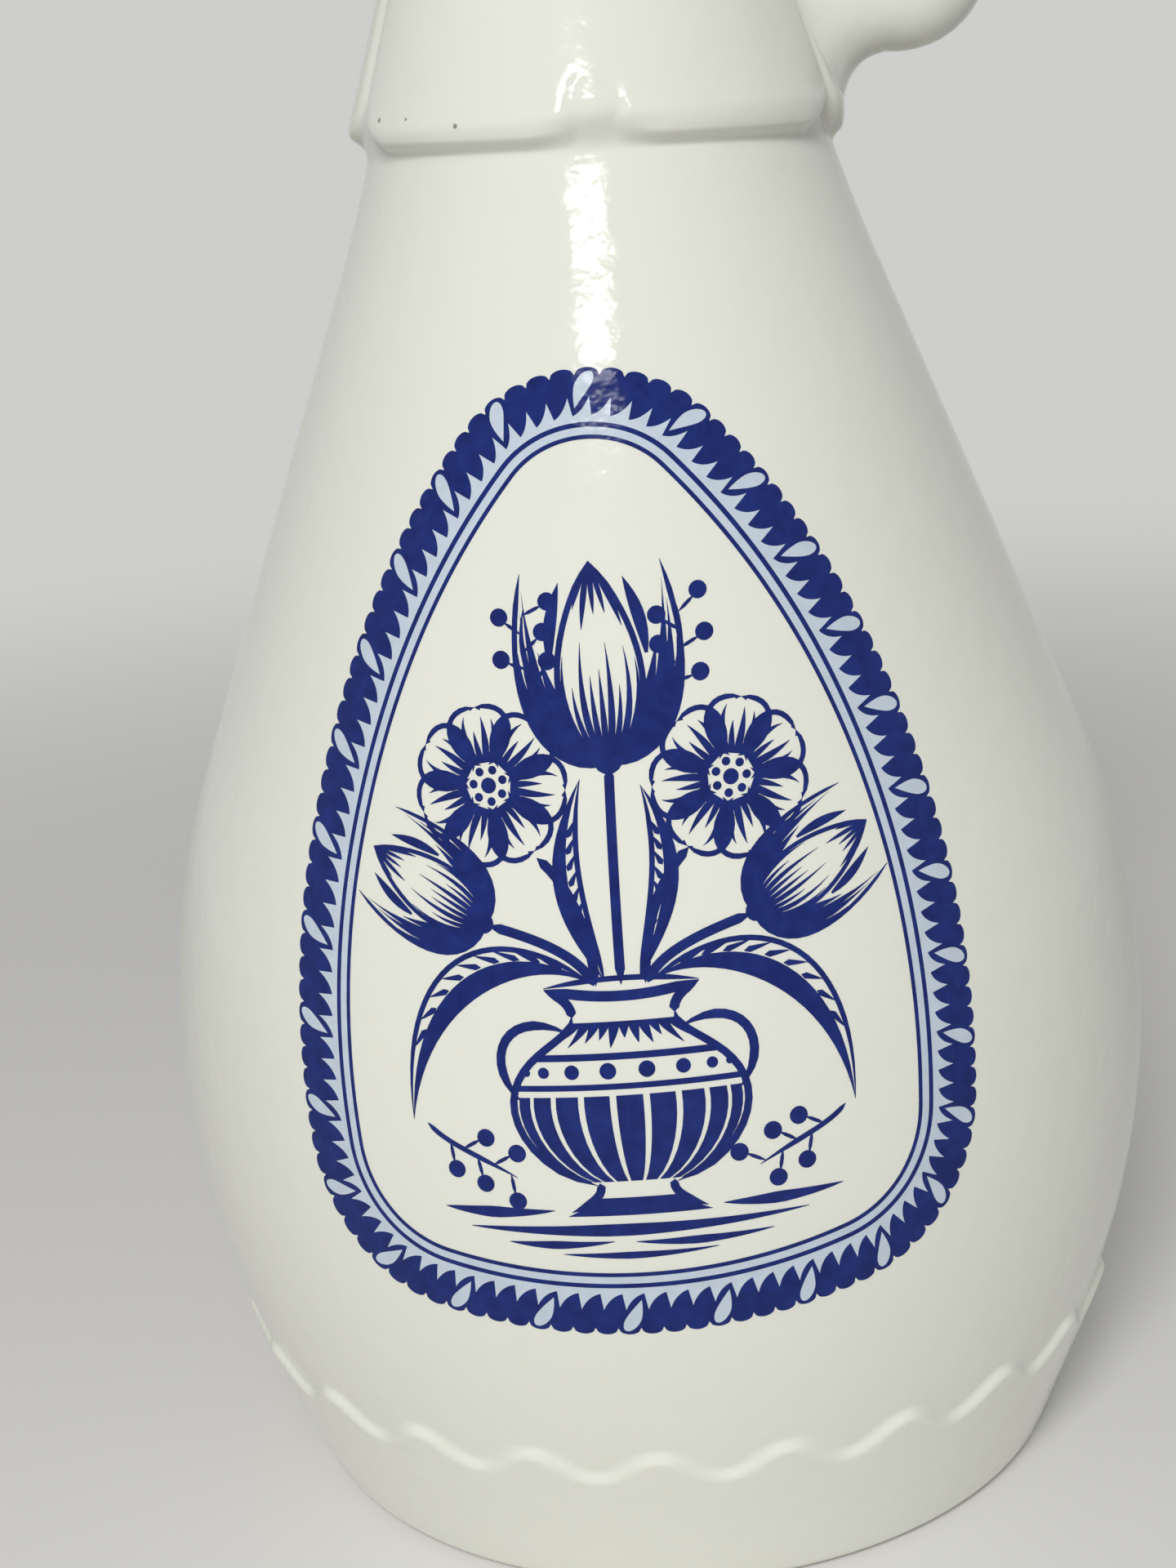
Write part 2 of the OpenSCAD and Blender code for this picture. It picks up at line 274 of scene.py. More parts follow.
def arc(centre, radius, start, end, steps):
    """Points of an arc in the outline's plane, from one angle to another"""
    turns = [start + (end - start) * i / steps for i in range(steps + 1)]
    return [(centre[0] + radius * math.cos(t), centre[1] + radius * math.sin(t)) for t in turns]


def heights(*stretches):
    """Heights of mesh rows: each stretch is its end and the number of rows that lead to it"""
    rows = [stretches[0][0]]
    for end, steps in stretches[1:]:
        start = rows[-1]
        rows += [start + (end - start) * (i + 1) / steps for i in range(steps)]
    return rows


def curve(points, t):
    """Point on a Bezier curve of any order"""
    points = list(points)
    while len(points) > 1:
        points = [a.lerp(b, t) for a, b in zip(points, points[1:])]
    return points[0]


def turned(outline, columns):
    """Closed round form from a half outline, spun about the bottle's axis"""
    bm = bmesh.new()
    verts = [bm.verts.new((r, 0, z)) for r, z in outline]
    edges = [bm.edges.new(pair) for pair in zip(verts, verts[1:])]
    bmesh.ops.spin(
        bm, geom=verts + edges, cent=(0, 0, 0), axis=(0, 0, 1), angle=2 * math.pi,
        steps=columns, use_merge=True, use_duplicate=False)
    bmesh.ops.remove_doubles(bm, verts=bm.verts, dist=WELD)
    bmesh.ops.recalc_face_normals(bm, faces=bm.faces)
    return bm


def patch(bm, columns, rows, place):
    """Grid laid out by place(across, along), both from 0 to 1"""
    made = bmesh.ops.create_grid(bm, x_segments=columns, y_segments=rows, size=0.5)
    for vert in made["verts"]:
        vert.co = place(vert.co.x + 0.5, vert.co.y + 0.5)


def add_piece(name, bm, material, body, node=None):
    """Turns a finished bmesh into a piece that rides on a body and may stand for a node"""
    mesh = bpy.data.meshes.new(name)
    bm.to_mesh(mesh)
    bm.free()
    mesh.polygons.foreach_set("use_smooth", [True] * len(mesh.polygons))
    mesh.set_sharp_from_angle(angle=SHARP_EDGE)
    mesh.materials.append(material)
    piece = bpy.data.objects.new(name, mesh)
    bpy.context.scene.collection.objects.link(piece)
    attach(piece, body)
    if node:
        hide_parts(node)
    return piece


class WareLine:
    """Outline of the ware, worked out from its sizes: radius by height and angle"""

    # Height in which the sleeve's core leaves the shoulder and comes up close under the sleeve
    core_rise = 5 * MM
    # The hem's middle notch fades out over this many of its radii, to the sides and upwards
    notch_across = 2.2
    notch_up = 1.5

    def __init__(self, sizes):
        self.sizes = sizes
        slope, lean = sizes.shoulder_slope, sizes.sleeve_slope
        normal = Vector((math.cos(slope), math.sin(slope)))
        self.side = Vector((sizes.belly_radius - sizes.flank_radius, sizes.belly_height))
        self.shoulder = self.side + sizes.flank_radius * normal
        rise = (self.shoulder.x - sizes.hollow_start) / math.tan(slope)
        self.hollow = Vector((sizes.hollow_start, self.shoulder.y + rise))
        self.hollow_centre = self.hollow + sizes.hollow_radius * normal
        self.groove_radius = sizes.hem_radius - sizes.hem_overhang
        drop = math.sqrt(sizes.hollow_radius ** 2 - (self.hollow_centre.x - self.groove_radius) ** 2)
        self.groove_z = self.hollow_centre.y - drop
        roll = math.sqrt(sizes.hem_roll ** 2 - (sizes.hem_roll - sizes.hem_overhang) ** 2)
        self.hem_z = self.groove_z + roll
        self.hem_x = sizes.hem_radius - sizes.hem_roll
        hem = Vector((self.hem_x, self.hem_z))
        self.sleeve = hem + sizes.hem_roll * Vector((math.cos(lean), math.sin(lean)))
        neck_from = sizes.neck_radius + sizes.neck_curve * (1 - math.cos(lean))
        neck_rise = (self.sleeve.x - neck_from) / math.tan(lean)
        self.neck = Vector((neck_from, self.sleeve.y + neck_rise))
        self.neck_z = self.neck.y + sizes.neck_curve * math.sin(lean)
        self.lip_z = BOTTLE_HIGH.z
        self.bottom_turn = math.asin(-sizes.belly_height / sizes.flank_radius)
        self.shoulder_way = sizes.flank_radius * (slope - self.bottom_turn)
        self.skirt_top = self.body(sizes.skirt_height) + sizes.skirt_proud
        self.foot_radius = self.skirt_top - sizes.skirt_height * math.tan(sizes.skirt_slope)
        self.heel_x = self.foot_radius - sizes.heel_round * math.tan(math.pi / 4 - sizes.skirt_slope / 2)
        self.heel_end_z = sizes.heel_round * (1 - math.sin(sizes.skirt_slope))

    def body(self, z):
        """Radius of the plain body"""
        sizes = self.sizes
        if z < self.shoulder.y:
            return self.side.x + math.sqrt(sizes.flank_radius ** 2 - (z - self.side.y) ** 2)
        if z < self.hollow.y:
            return self.shoulder.x - (z - self.shoulder.y) * math.tan(sizes.shoulder_slope)
        return self.hollow_centre.x - math.sqrt(sizes.hollow_radius ** 2 - (self.hollow_centre.y - z) ** 2)

    def plain_sleeve(self, z):
        """Radius of the sleeve and the neck without hem, notches and grooves"""
        sizes = self.sizes
        if z < self.neck.y:
            return self.sleeve.x - (z - self.sleeve.y) * math.tan(sizes.sleeve_slope)
        if z < self.neck_z:
            reach = sizes.neck_radius + sizes.neck_curve
            return reach - math.sqrt(sizes.neck_curve ** 2 - (self.neck_z - z) ** 2)
        return sizes.neck_radius

    def side_point(self, way):
        """Radius, height and outward slope at a way up the plain side from the table"""
        sizes = self.sizes
        turn = min(self.bottom_turn + way / sizes.flank_radius, sizes.shoulder_slope)
        past = max(way - self.shoulder_way, 0)
        radius = self.side.x + sizes.flank_radius * math.cos(turn) - past * math.sin(turn)
        height = self.side.y + sizes.flank_radius * math.sin(turn) + past * math.cos(turn)
        return radius, height, turn

    def skirt(self, z, turn):
        """Radius near the foot: the skirt stands proud of the body below a scalloped edge"""
        sizes = self.sizes
        wave = math.cos(sizes.scallops * (turn - sizes.scallop_turn))
        edge = sizes.skirt_height - sizes.scallop_depth / 2 * (1 - wave)
        below = 1 - ramp(edge - sizes.ledge_below, edge + sizes.ledge_above, z)
        body = self.body(z)
        proud = self.foot_radius + z * math.tan(sizes.skirt_slope) - body
        return body + proud * below

    def panel_fullness(self, z, turn):
        """How full the sleeve is at a place: 0 at a panel's edge, 1 past the edge's rounding"""
        sizes = self.sizes
        radius = self.plain_sleeve(z)
        up = z - self.groove_z
        away = abs((turn + math.pi) % (2 * math.pi) - math.pi)
        away = min(away, math.pi - away)
        if away > sizes.panel_half:
            up += sizes.tongue_tilt * math.sin(turn) - sizes.tongue_lift
            from_groove = (away - sizes.panel_half) * radius
            return rolled_edge(rounded_corner(from_groove, up, sizes.tongue_corner) / sizes.tongue_roll)
        up += sizes.panel_tilt * math.sin(turn) - sizes.panel_lift
        across = away * radius
        depth = rounded_corner((sizes.panel_half - away) * radius, up, sizes.panel_corner)
        if up < sizes.notch_radius:
            depth = min(depth, rounded_corner(across, up, sizes.notch_radius))
        else:
            depth = min(depth, math.hypot(across, up - sizes.notch_radius))
        # The notch fades softly into the shoulder below it
        soft = 1 - ramp(0, self.notch_across * sizes.notch_radius, across)
        inside = depth / (sizes.panel_roll + sizes.notch_roll * soft)
        full = rolled_edge(inside) * (1 - soft) + ramp(0, 1, inside) * soft
        return max(full, soft * ramp(0, self.notch_up * sizes.notch_radius, up))

    def core(self, z):
        """Radius of the sleeve at the bottom of its grooves"""
        fade = 1 - ramp(self.sleeve.y, self.neck_z, z)
        groove = self.plain_sleeve(z) - self.sizes.groove_depth * fade
        if z > self.groove_z + self.core_rise:
            return groove
        shoulder = self.body(z)
        return shoulder + (groove - shoulder) * ramp(0, self.core_rise, z - self.groove_z)

    def sleeve_relief(self, z, turn):
        """Radius of the sleeve with its rolled hem, notches and grooves"""
        core = self.core(z)
        roll = self.plain_sleeve(z)
        if z < self.hem_z:
            roll = self.sizes.hem_radius
        elif z < self.sleeve.y:
            roll = self.hem_x + math.sqrt(self.sizes.hem_roll ** 2 - (z - self.hem_z) ** 2)
        return core + (max(roll, core) - core) * self.panel_fullness(z, turn)

    def outside(self, z, turn):
        """Radius of the finished ware from the heel to the lip"""
        if z < self.sizes.skirt_height + 2 * self.sizes.ledge_above:
            return self.skirt(z, turn)
        if z <= self.groove_z - self.sizes.hem_drop:
            return self.body(z)
        return self.sleeve_relief(z, turn)


def rolled_edge(inside):
    """Fullness over a panel's rounded edge, with a small fillet at its foot"""
    inside = min(max(inside, 0), 1)
    fillet = ramp(-0.1, 0.5, inside)
    return math.sqrt(1 - (1 - inside) ** 2) * fillet


def rounded_corner(across, up, radius):
    """Distance inside a panel's edge near a rounded lower corner"""
    if across < radius and up < radius:
        return radius - math.hypot(radius - across, radius - up)
    return min(across, up)


# Glazed ware

def foot_outline(line):
    """Half outline under the foot, from its middle to the heel"""
    sizes = line.sizes
    ring = line.heel_x - sizes.rest_width
    ball = (ring ** 2 + sizes.push_up ** 2) / (2 * sizes.push_up)
    steps = 10
    points = []
    for i in range(steps + 1):
        r = ring * i / steps
        points.append((r, sizes.push_up - ball + math.sqrt(ball ** 2 - r ** 2)))
    points[-1] = (ring, 0)
    heel = arc((line.heel_x, sizes.heel_round), sizes.heel_round, -math.pi / 2, -sizes.skirt_slope, steps=8)
    return points + [((ring + line.heel_x) / 2, 0)] + heel


def side_rows(line):
    """Heights of the mesh rows from the heel to the neck, closest where the ware has relief"""
    sizes = line.sizes
    skirt = sizes.skirt_height
    low = skirt - sizes.scallop_depth - sizes.ledge_below
    past_hem = line.sleeve.y + 3 * MM
    return heights(
        (line.heel_end_z, 0), (low, 5), (skirt + 2 * sizes.ledge_above, 24), (line.shoulder.y, 26),
        (line.hollow.y, 20), (line.groove_z - sizes.hem_drop, 7), (past_hem, 48),
        (line.neck.y, 20), (line.neck_z, 8))[1:]


def lip_outline(line):
    """Half outline of the lip, from the neck's top over the bead to the mouth"""
    sizes = line.sizes
    bead = sizes.lip_height / 2
    centre = (sizes.lip_radius - bead, line.lip_z - bead)
    fillet_x = sizes.neck_radius + sizes.lip_fillet
    reach = bead + sizes.lip_fillet
    drop = math.sqrt(reach ** 2 - (fillet_x - centre[0]) ** 2)
    meet = math.atan2(drop, centre[0] - fillet_x)
    fillet = arc((fillet_x, centre[1] - drop), sizes.lip_fillet, math.pi, meet, steps=5)
    round_bead = arc(centre, bead, meet - math.pi, math.pi / 2, steps=14)
    edge = (sizes.mouth_radius + sizes.mouth_round, line.lip_z - sizes.mouth_round)
    return fillet + round_bead[1:] + arc(edge, sizes.mouth_round, math.pi / 2, math.pi, steps=5)


def inside_outline(line):
    """Half outline of the hollow, from the mouth down to the middle of the floor"""
    sizes = line.sizes
    slope = sizes.shoulder_slope
    bore = sizes.mouth_radius
    inner = sizes.flank_radius - sizes.wall
    start = line.side + inner * Vector((math.cos(slope), math.sin(slope)))
    end_x = bore + sizes.inner_curve * (1 - math.cos(slope))
    end = Vector((end_x, start.y + (start.x - end_x) / math.tan(slope)))
    centre = end + sizes.inner_curve * Vector((math.cos(slope), math.sin(slope)))
    neck = [(bore, CORK_LOW.z), (bore, (CORK_LOW.z + centre.y) / 2)]
    bend = arc(centre, sizes.inner_curve, math.pi, math.pi + slope, steps=8)
    cone = [tuple(end.lerp(start, t)) for t in (0.33, 0.67)]
    floor_turn = math.asin((sizes.floor - sizes.belly_height) / inner)
    belly = arc(line.side, inner, slope, floor_turn, steps=14)
    floor_edge = belly[-1][0]
    floor = [(floor_edge * t, sizes.floor) for t in (0.75, 0.5, 0.25, 0)]
    return neck + bend + cone + belly + floor


def build_bottle(sizes, material):
    line = WareLine(sizes)
    side = [(line.outside(z, 0), z) for z in side_rows(line)]
    outline = foot_outline(line) + side + lip_outline(line) + inside_outline(line)
    bm = turned(outline, sizes.columns)
    # The side's rows get their relief, and the rows inside the wall stay round
    for vert in bm.verts:
        z = vert.co.z
        radius = math.hypot(vert.co.x, vert.co.y)
        on_side = line.heel_end_z + WELD < z < line.neck_z - WELD
        if on_side and radius > line.outside(z, 0) - sizes.wall / 2:
            turn = math.atan2(vert.co.x, -vert.co.y)
            vert.co = polar(line.outside(z, turn), turn, z)
    return add_piece("ware_bottle", bm, material, "bottle", "bottle")


# Ear handle

def handle_rings(sizes, line):
    """Rings of the handle from the lower root over the heel and the bow to the upper root"""
    bar = sizes.bar_radius
    turns = [2 * math.pi * i / sizes.segments for i in range(sizes.segments + 1)]
    bow = Vector((sizes.grip_reach, 0, sizes.grip_height))

    def on_ware(across, z, sink):
        radius = line.plain_sleeve(z)
        turn = math.pi / 2 + across / radius
        return polar(line.outside(z, turn) - sink, turn, z)

    def on_bow(a):
        return bow + sizes.grip_radius * Vector((math.cos(a), 0, math.sin(a)))

    def ring(centre, along):
        normal = Vector((-along.z, 0, along.x)).normalized()
        return [centre + bar * (math.cos(t) * normal + math.sin(t) * Vector((0, 1, 0))) for t in turns]

    def fillet(end_ring, inward, root_z, flip, side, up, down, fill=0):
        """Rings from the buried end of a root out to the limb, which points inward at its end"""
        steps = 10
        rings = [[] for _ in range(steps + 1)]
        for t, outer in zip(turns, end_ring):
            rise = flip * math.cos(t)
            foot_z = root_z + (up if rise > 0 else down) * rise
            low = on_ware(side * math.sin(t), foot_z, sizes.sink)
            # The corner lies straight ahead of the limb, so that the fillet leaves it smoothly
            run = (outer.x - line.plain_sleeve(outer.z)) / -inward.x
            corner = on_ware(bar * math.sin(t), outer.z + run * inward.z, fill * min(rise, 0))
            rings[0].append(on_ware(side * math.sin(t), foot_z, sizes.bury))
            for i in range(steps):
                rings[i + 1].append(curve((low, corner, outer), i / steps))
        return rings

    limb = Vector((sizes.limb_end, 0, sizes.limb_height))
    heel = Vector((sizes.heel_reach, 0, sizes.limb_height - sizes.heel_drop))
    bow_start = on_bow(sizes.bow_from)
    lower = ring(limb, Vector((1, 0, 0)))
    rings = fillet(
        lower, Vector((-1, 0, 0)), sizes.root_height, 1, sizes.root_side, sizes.root_up, sizes.root_down,
        sizes.root_fill)
    bend = (limb, heel, bow_start)
    bend_steps = 12
    for i in range(bend_steps):
        at = curve(bend, i / bend_steps)
        ahead = curve(bend, i / bend_steps + 0.01)
        rings.append(ring(at, ahead - at))
    neck = line.sizes.neck_radius
    bow_end = math.acos((neck + sizes.top_run - bow.x) / sizes.grip_radius)
    bow_steps = 32
    for i in range(bow_steps + 1):
        a = sizes.bow_from + (bow_end - sizes.bow_from) * i / bow_steps
        rings.append(ring(on_bow(a), Vector((-math.sin(a), 0, math.cos(a)))))
    top_z = on_bow(math.acos((neck - bow.x) / sizes.grip_radius)).z
    inward = Vector((-math.sin(bow_end), 0, math.cos(bow_end)))
    upper = fillet(rings[-1], inward, top_z, -1, sizes.top_reach, sizes.top_reach, sizes.top_reach)
    return rings + upper[:0:-1] + [upper[0]]


def build_handle(sizes, bottle_sizes, material):
    rings = handle_rings(sizes, WareLine(bottle_sizes))
    bm = bmesh.new()
    last = len(rings) - 1

    def place(across, along):
        return rings[round(along * last)][round(across * sizes.segments)]

    patch(bm, sizes.segments, last, place)
    bmesh.ops.remove_doubles(bm, verts=bm.verts, dist=WELD)
    bmesh.ops.holes_fill(bm, edges=[edge for edge in bm.edges if edge.is_boundary], sides=0)
    bmesh.ops.recalc_face_normals(bm, faces=bm.faces)
    return add_piece("ear_handle", bm, material, "bottle", "handle")


# Stopper

# Pores lie along the bark, so they are stretched up the cork
PORE_STRETCH = 0.45
PORE_SIZE = 1.3 * MM
# Levels of the noise between which a pore sinks in
PORE_LEVELS = (0.25, 0.6)


def build_stopper_head(sizes, material):
    seat = BOTTLE_HIGH.z
    rim = sizes.flange_thickness / 2
    top = seat + sizes.flange_thickness
    ball = (0, HEAD_HIGH.z - sizes.ball_radius)
    waist_x = sizes.waist_radius + sizes.waist_curve
    reach = sizes.ball_radius + sizes.waist_curve
    waist = (waist_x, ball[1] - math.sqrt(reach ** 2 - waist_x ** 2))
    meet = math.atan2(ball[1] - waist[1], -waist_x)
    spigot_end = seat - sizes.spigot_length
    spigot_tip = 0.9 * sizes.spigot_radius
    spigot_bevel = 0.4 * MM
    outline = [(0, spigot_end), (spigot_tip, spigot_end)]
    outline += [(sizes.spigot_radius, spigot_end + spigot_bevel), (sizes.spigot_radius, seat)]
    outline += [((sizes.spigot_radius + sizes.flange_radius) / 2, seat)]
    outline += arc((sizes.flange_radius - rim, seat + rim), rim, -math.pi / 2, math.pi / 2, steps=12)
    low = max(waist[1] - sizes.waist_curve, top)
    outline += arc((waist_x, low + sizes.waist_curve), sizes.waist_curve, -math.pi / 2, -math.pi, steps=8)
    outline += arc(waist, sizes.waist_curve, math.pi, meet, steps=4)[1:]
    outline += arc(ball, sizes.ball_radius, meet - math.pi, math.pi / 2, steps=40)[1:]
    outline[-1] = (0, HEAD_HIGH.z)
    bm = turned(outline, sizes.columns)
    return add_piece("stopper_knob", bm, material, "stopper", "stopper_head")


def build_stopper_cork(sizes, material):
    bore = sizes.spigot_radius + sizes.glue_gap
    top_radius = CORK_HIGH.x
    foot = top_radius - sizes.cork_taper
    low, high = CORK_LOW.z, CORK_HIGH.z
    rows = 44
    bevel_z = low + sizes.cork_bevel
    side = [
        (foot + (top_radius - foot) * i / rows, bevel_z + (high - low - sizes.cork_bevel) * i / rows)
        for i in range(rows + 1)]
    rings = 8
    base = [(bore + (foot - sizes.cork_bevel - bore) * i / rings, low) for i in range(1, rings + 1)]
    top = [((bore + top_radius) / 2, high), (bore, high)]
    outline = [(bore, high), (bore, low)] + base + side + top
    bm = turned(outline, sizes.columns)
    for vert in bm.verts:
        out = Vector((vert.co.x, vert.co.y, 0))
        if vert.co.z > high - WELD or out.length < bore + WELD:
            continue
        pore = noise.noise(Vector((vert.co.x, vert.co.y, vert.co.z * PORE_STRETCH)) / PORE_SIZE)
        vert.co -= out.normalized() * sizes.pore_depth * ramp(*PORE_LEVELS, pore)
    return add_piece("stopper_cork_plug", bm, material, "stopper", "stopper_cork")


# Blue print

# The wash ends this far inside the lobes' rounded edge
WASH_INSET = 0.06 * MM
# The deep blue pieces stand higher than the wash, each by its own step
LINE_STEP = 0.006 * MM
DROP_STEP = 0.01 * MM
PICTURE_STEP = 0.004 * MM
# Longest mesh edge of the picture's strokes, so that they follow the round ware
STROKE_GRAIN = 1.2 * MM


class PrintField:
    """Lays flat shapes on the ware: across from the print's middle, and up the side"""

    def __init__(self, sizes, line):
        self.sizes = sizes
        self.line = line
        self.middle = Vector((0, (sizes.bottom + sizes.top) / 2))
        self.lean = Matrix.Rotation(sizes.tilt, 2)

    def on_ware(self, flat, lift):
        flat = self.lean @ (flat - self.middle) + self.middle
        radius, height, slope = self.line.side_point(flat.y)
        turn = self.sizes.turn + flat.x / radius
        return polar(radius + lift * math.cos(slope), turn, height + lift * math.sin(slope))

    def add_piece(self, name, bm, material, step=0):
        """Welds the flat shapes, gives them the thickness of a print and lays them on the ware"""
        bmesh.ops.remove_doubles(bm, verts=bm.verts, dist=WELD)
        for face in bm.faces:
            face.normal_update()
            if face.normal.z < 0:
                face.normal_flip()
        # This thickness only tells the upper side from the lower one
        bmesh.ops.solidify(bm, geom=bm.faces[:], thickness=1 * MM)
        levels = [vert.co.z for vert in bm.verts]
        middle = (min(levels) + max(levels)) / 2
        for vert in bm.verts:
            lift = self.sizes.film + step if vert.co.z > middle else -self.sizes.key
            vert.co = self.on_ware(vert.co.xy, lift)
        bmesh.ops.recalc_face_normals(bm, faces=bm.faces)
        return add_piece(name, bm, material, "bottle")


class PrintFrame:
    """Egg-shaped frame of tangent arcs, followed counter-clockwise from the bottom"""

    def __init__(self, sizes):
        self.sizes = sizes
        side = Vector((sizes.half_width - sizes.side_radius, sizes.widest))
        rise = sizes.top - side.y
        cap = (sizes.side_radius ** 2 - side.x ** 2 - rise ** 2) / (2 * (sizes.side_radius - rise))
        cap_centre = Vector((0, sizes.top - cap))
        base = Vector((0, sizes.bottom + sizes.bottom_radius))
        corner = self.corner_centre(side, base)
        to_corner = math.atan2(corner.y - base.y, corner.x - base.x)
        to_side = math.atan2(corner.y - side.y, corner.x - side.x)
        to_cap = math.atan2(cap_centre.y - side.y, cap_centre.x - side.x)
        right = [
            (base, sizes.bottom_radius, -math.pi / 2, to_corner),
            (corner, sizes.corner_radius, to_corner, to_side),
            (side, sizes.side_radius, to_side, to_cap),
            (cap_centre, cap, to_cap, math.pi / 2)]
        left = [
            (Vector((-centre.x, centre.y)), radius, math.pi - end, math.pi - start)
            for centre, radius, start, end in reversed(right)]
        self.arcs = right + left
        # Drops and filled lobes, with one lobe more in one of the groups
        self.lobes = sizes.groups * (sizes.lobes + 1) + 1
        # The way round is measured along the middle of the lobes
        self.spacing = (sizes.tip + sizes.crest) / 2
        self.lengths = [(radius + self.spacing) * (end - start) for _, radius, start, end in self.arcs]

    def corner_centre(self, side, base):
        """Centre of the lower corner, which lies inside the side's arc and the base's arc"""
        to_side = self.sizes.side_radius - self.sizes.corner_radius
        to_base = self.sizes.bottom_radius - self.sizes.corner_radius
        gap = base - side
        along = (to_side ** 2 - to_base ** 2 + gap.length_squared) / (2 * gap.length)
        across = math.sqrt(to_side ** 2 - along ** 2)
        unit = gap.normalized()
        return side + along * unit + across * Vector((unit.y, -unit.x))

    def point(self, part, offset):
        """Point at a share of the way round, offset outwards from the inner line"""
        way = (part % 1) * sum(self.lengths)
        for (centre, radius, start, _), run in zip(self.arcs, self.lengths):
            if way <= run:
                break
            way -= run
        turn = start + way / (radius + self.spacing)
        return (centre + (radius + offset) * Vector((math.cos(turn), math.sin(turn)))).to_3d()

    def at_lobe(self, number, offset):
        """Point at a number of lobes from the bottom, which lie closer on some stretches than on others"""
        sizes = self.sizes
        part = number / self.lobes
        swing = sizes.lobe_swing * math.cos(2 * math.pi * (part - sizes.swing_peak))
        ripple = sizes.lobe_ripple * math.cos(6 * math.pi * (part - sizes.ripple_peak))
        return self.point(part + sizes.lobe_shift + swing + ripple, offset)


class LobeShape:
    """Outline of one lobe, in lobe pitches along the frame and distances from the inner line"""

    # The notches lean less than the tips, and the inner side bellies out before it runs to its tip
    notch_back = 0.38
    belly_along = 0.3
    belly_out = 0.3 * MM
    tip_part = 0.8

    def __init__(self, sizes):
        self.sizes = sizes
        self.shift = sizes.lean - self.notch_back
        self.left = (Vector((0, sizes.valley)), Vector((self.shift, sizes.notch)))
        self.right = (self.left[0] + Vector((1, 0)), self.left[1] + Vector((1, 0)))
        self.tip = Vector((0.5 + sizes.lean, sizes.tip))
        self.belly = Vector((self.shift + self.belly_along, sizes.tip + self.belly_out))

    def outer(self, h):
        """Rounded outer end, from left to right"""
        rise = math.sqrt(max(1 - (2 * h - 1) ** 2, 0))
        return Vector((h, self.sizes.valley + (self.sizes.crest - self.sizes.valley) * rise))

    def inner(self, h):
        """Inner side, drawn out to a leaning tip, from left to right"""
        if h < self.tip_part:
            return curve((self.left[1], self.belly, self.tip), h / self.tip_part)
        return self.tip.lerp(self.right[1], (h - self.tip_part) / (1 - self.tip_part))

    def edge(self, part):
        """Point on the closed outline: down the left side, along the tip, up the right and back"""
        section, t = divmod(part * 4, 1)
        if section == 0:
            return self.left[0].lerp(self.left[1], t)
        if section == 1:
            return self.inner(t)
        if section == 2:
            return self.right[1].lerp(self.right[0], t)
        return self.outer(1 - t)

    def spine(self, distance):
        """Middle of the lobe, which leans over towards the tip"""
        sizes = self.sizes
        if distance > sizes.notch:
            return 0.5 + self.shift * (sizes.valley - distance) / (sizes.valley - sizes.notch)
        past = (sizes.notch - distance) / (sizes.notch - sizes.tip)
        return 0.5 + self.shift + (sizes.lean - self.shift) * past


def lobe_place(frame_line, shape, number):
    """Layout of one filled lobe, blended between its four sides"""
    left, right = shape.left, shape.right

    def place(h, v):
        sides = left[0].lerp(left[1], v) * (1 - h) + right[0].lerp(right[1], v) * h
        ends = shape.outer(h) * (1 - v) + shape.inner(h) * v
        corners = (left[0] * (1 - h) + right[0] * h) * (1 - v) + (left[1] * (1 - h) + right[1] * h) * v
        flat = sides + ends - corners
        return frame_line.at_lobe(number + flat.x, flat.y)

    return place


def drop_place(frame_line, shape, number):
    """Layout of one hollow drop: a lobe with a leaning teardrop left open in it"""
    sizes = shape.sizes
    fullest = 0.35
    round_end = 0.875

    def hole(turn):
        along = 0.5 - 0.5 * math.cos(turn)
        past = (along - fullest) / (1 - fullest)
        half = math.sqrt(1 - (1 - along / fullest) ** 2) if past < 0 else 1 - past ** 1.5
        distance = sizes.drop_top + (sizes.drop_tip - sizes.drop_top) * along
        side = 1 if turn > math.pi else -1
        return Vector((shape.spine(distance) + side * half * sizes.drop_width / 2, distance))

    def place(h, v):
        # Both outlines run from the middle of the rounded end down the left side, and back up the right
        flat = shape.edge((h + round_end) % 1).lerp(hole(2 * math.pi * h), v)
        return frame_line.at_lobe(number + flat.x, flat.y)

    return place


def build_border(sizes, bottle_sizes, blue, tint):
    field = PrintField(sizes, WareLine(bottle_sizes))
    frame_line = PrintFrame(sizes)
    shape = LobeShape(sizes)
    around = 360
    wash_per_lobe = 6

    def ring(low, high):
        return lambda h, v: frame_line.point(h, low + (high - low) * v)

    def under_lobes(h, v):
        number = h * frame_line.lobes
        return frame_line.at_lobe(number, v * (shape.outer(number % 1).y - WASH_INSET))

    wash = bmesh.new()
    patch(wash, columns=frame_line.lobes * wash_per_lobe, rows=5, place=under_lobes)
    field.add_piece("print_tint", wash, tint)

    lines = bmesh.new()
    inner, outer = sizes.inner_line / 2, sizes.outer_line / 2
    patch(lines, around, 1, ring(-inner, inner))
    patch(lines, around, 1, ring(sizes.line_gap - outer, sizes.line_gap + outer))
    field.add_piece("print_lines", lines, blue, LINE_STEP)

    in_group = sizes.lobes + 1
    border = bmesh.new()
    drops = bmesh.new()
    for number in range(frame_line.lobes):
        in_turn = number - (1 if number >= sizes.extra_lobe else 0)
        if in_turn % in_group < sizes.lobes:
            patch(border, columns=10, rows=4, place=lobe_place(frame_line, shape, number))
        else:
            patch(drops, columns=40, rows=1, place=drop_place(frame_line, shape, number))
    field.add_piece("print_lobes", border, blue, LINE_STEP)
    field.add_piece("print_drops", drops, blue, DROP_STEP)


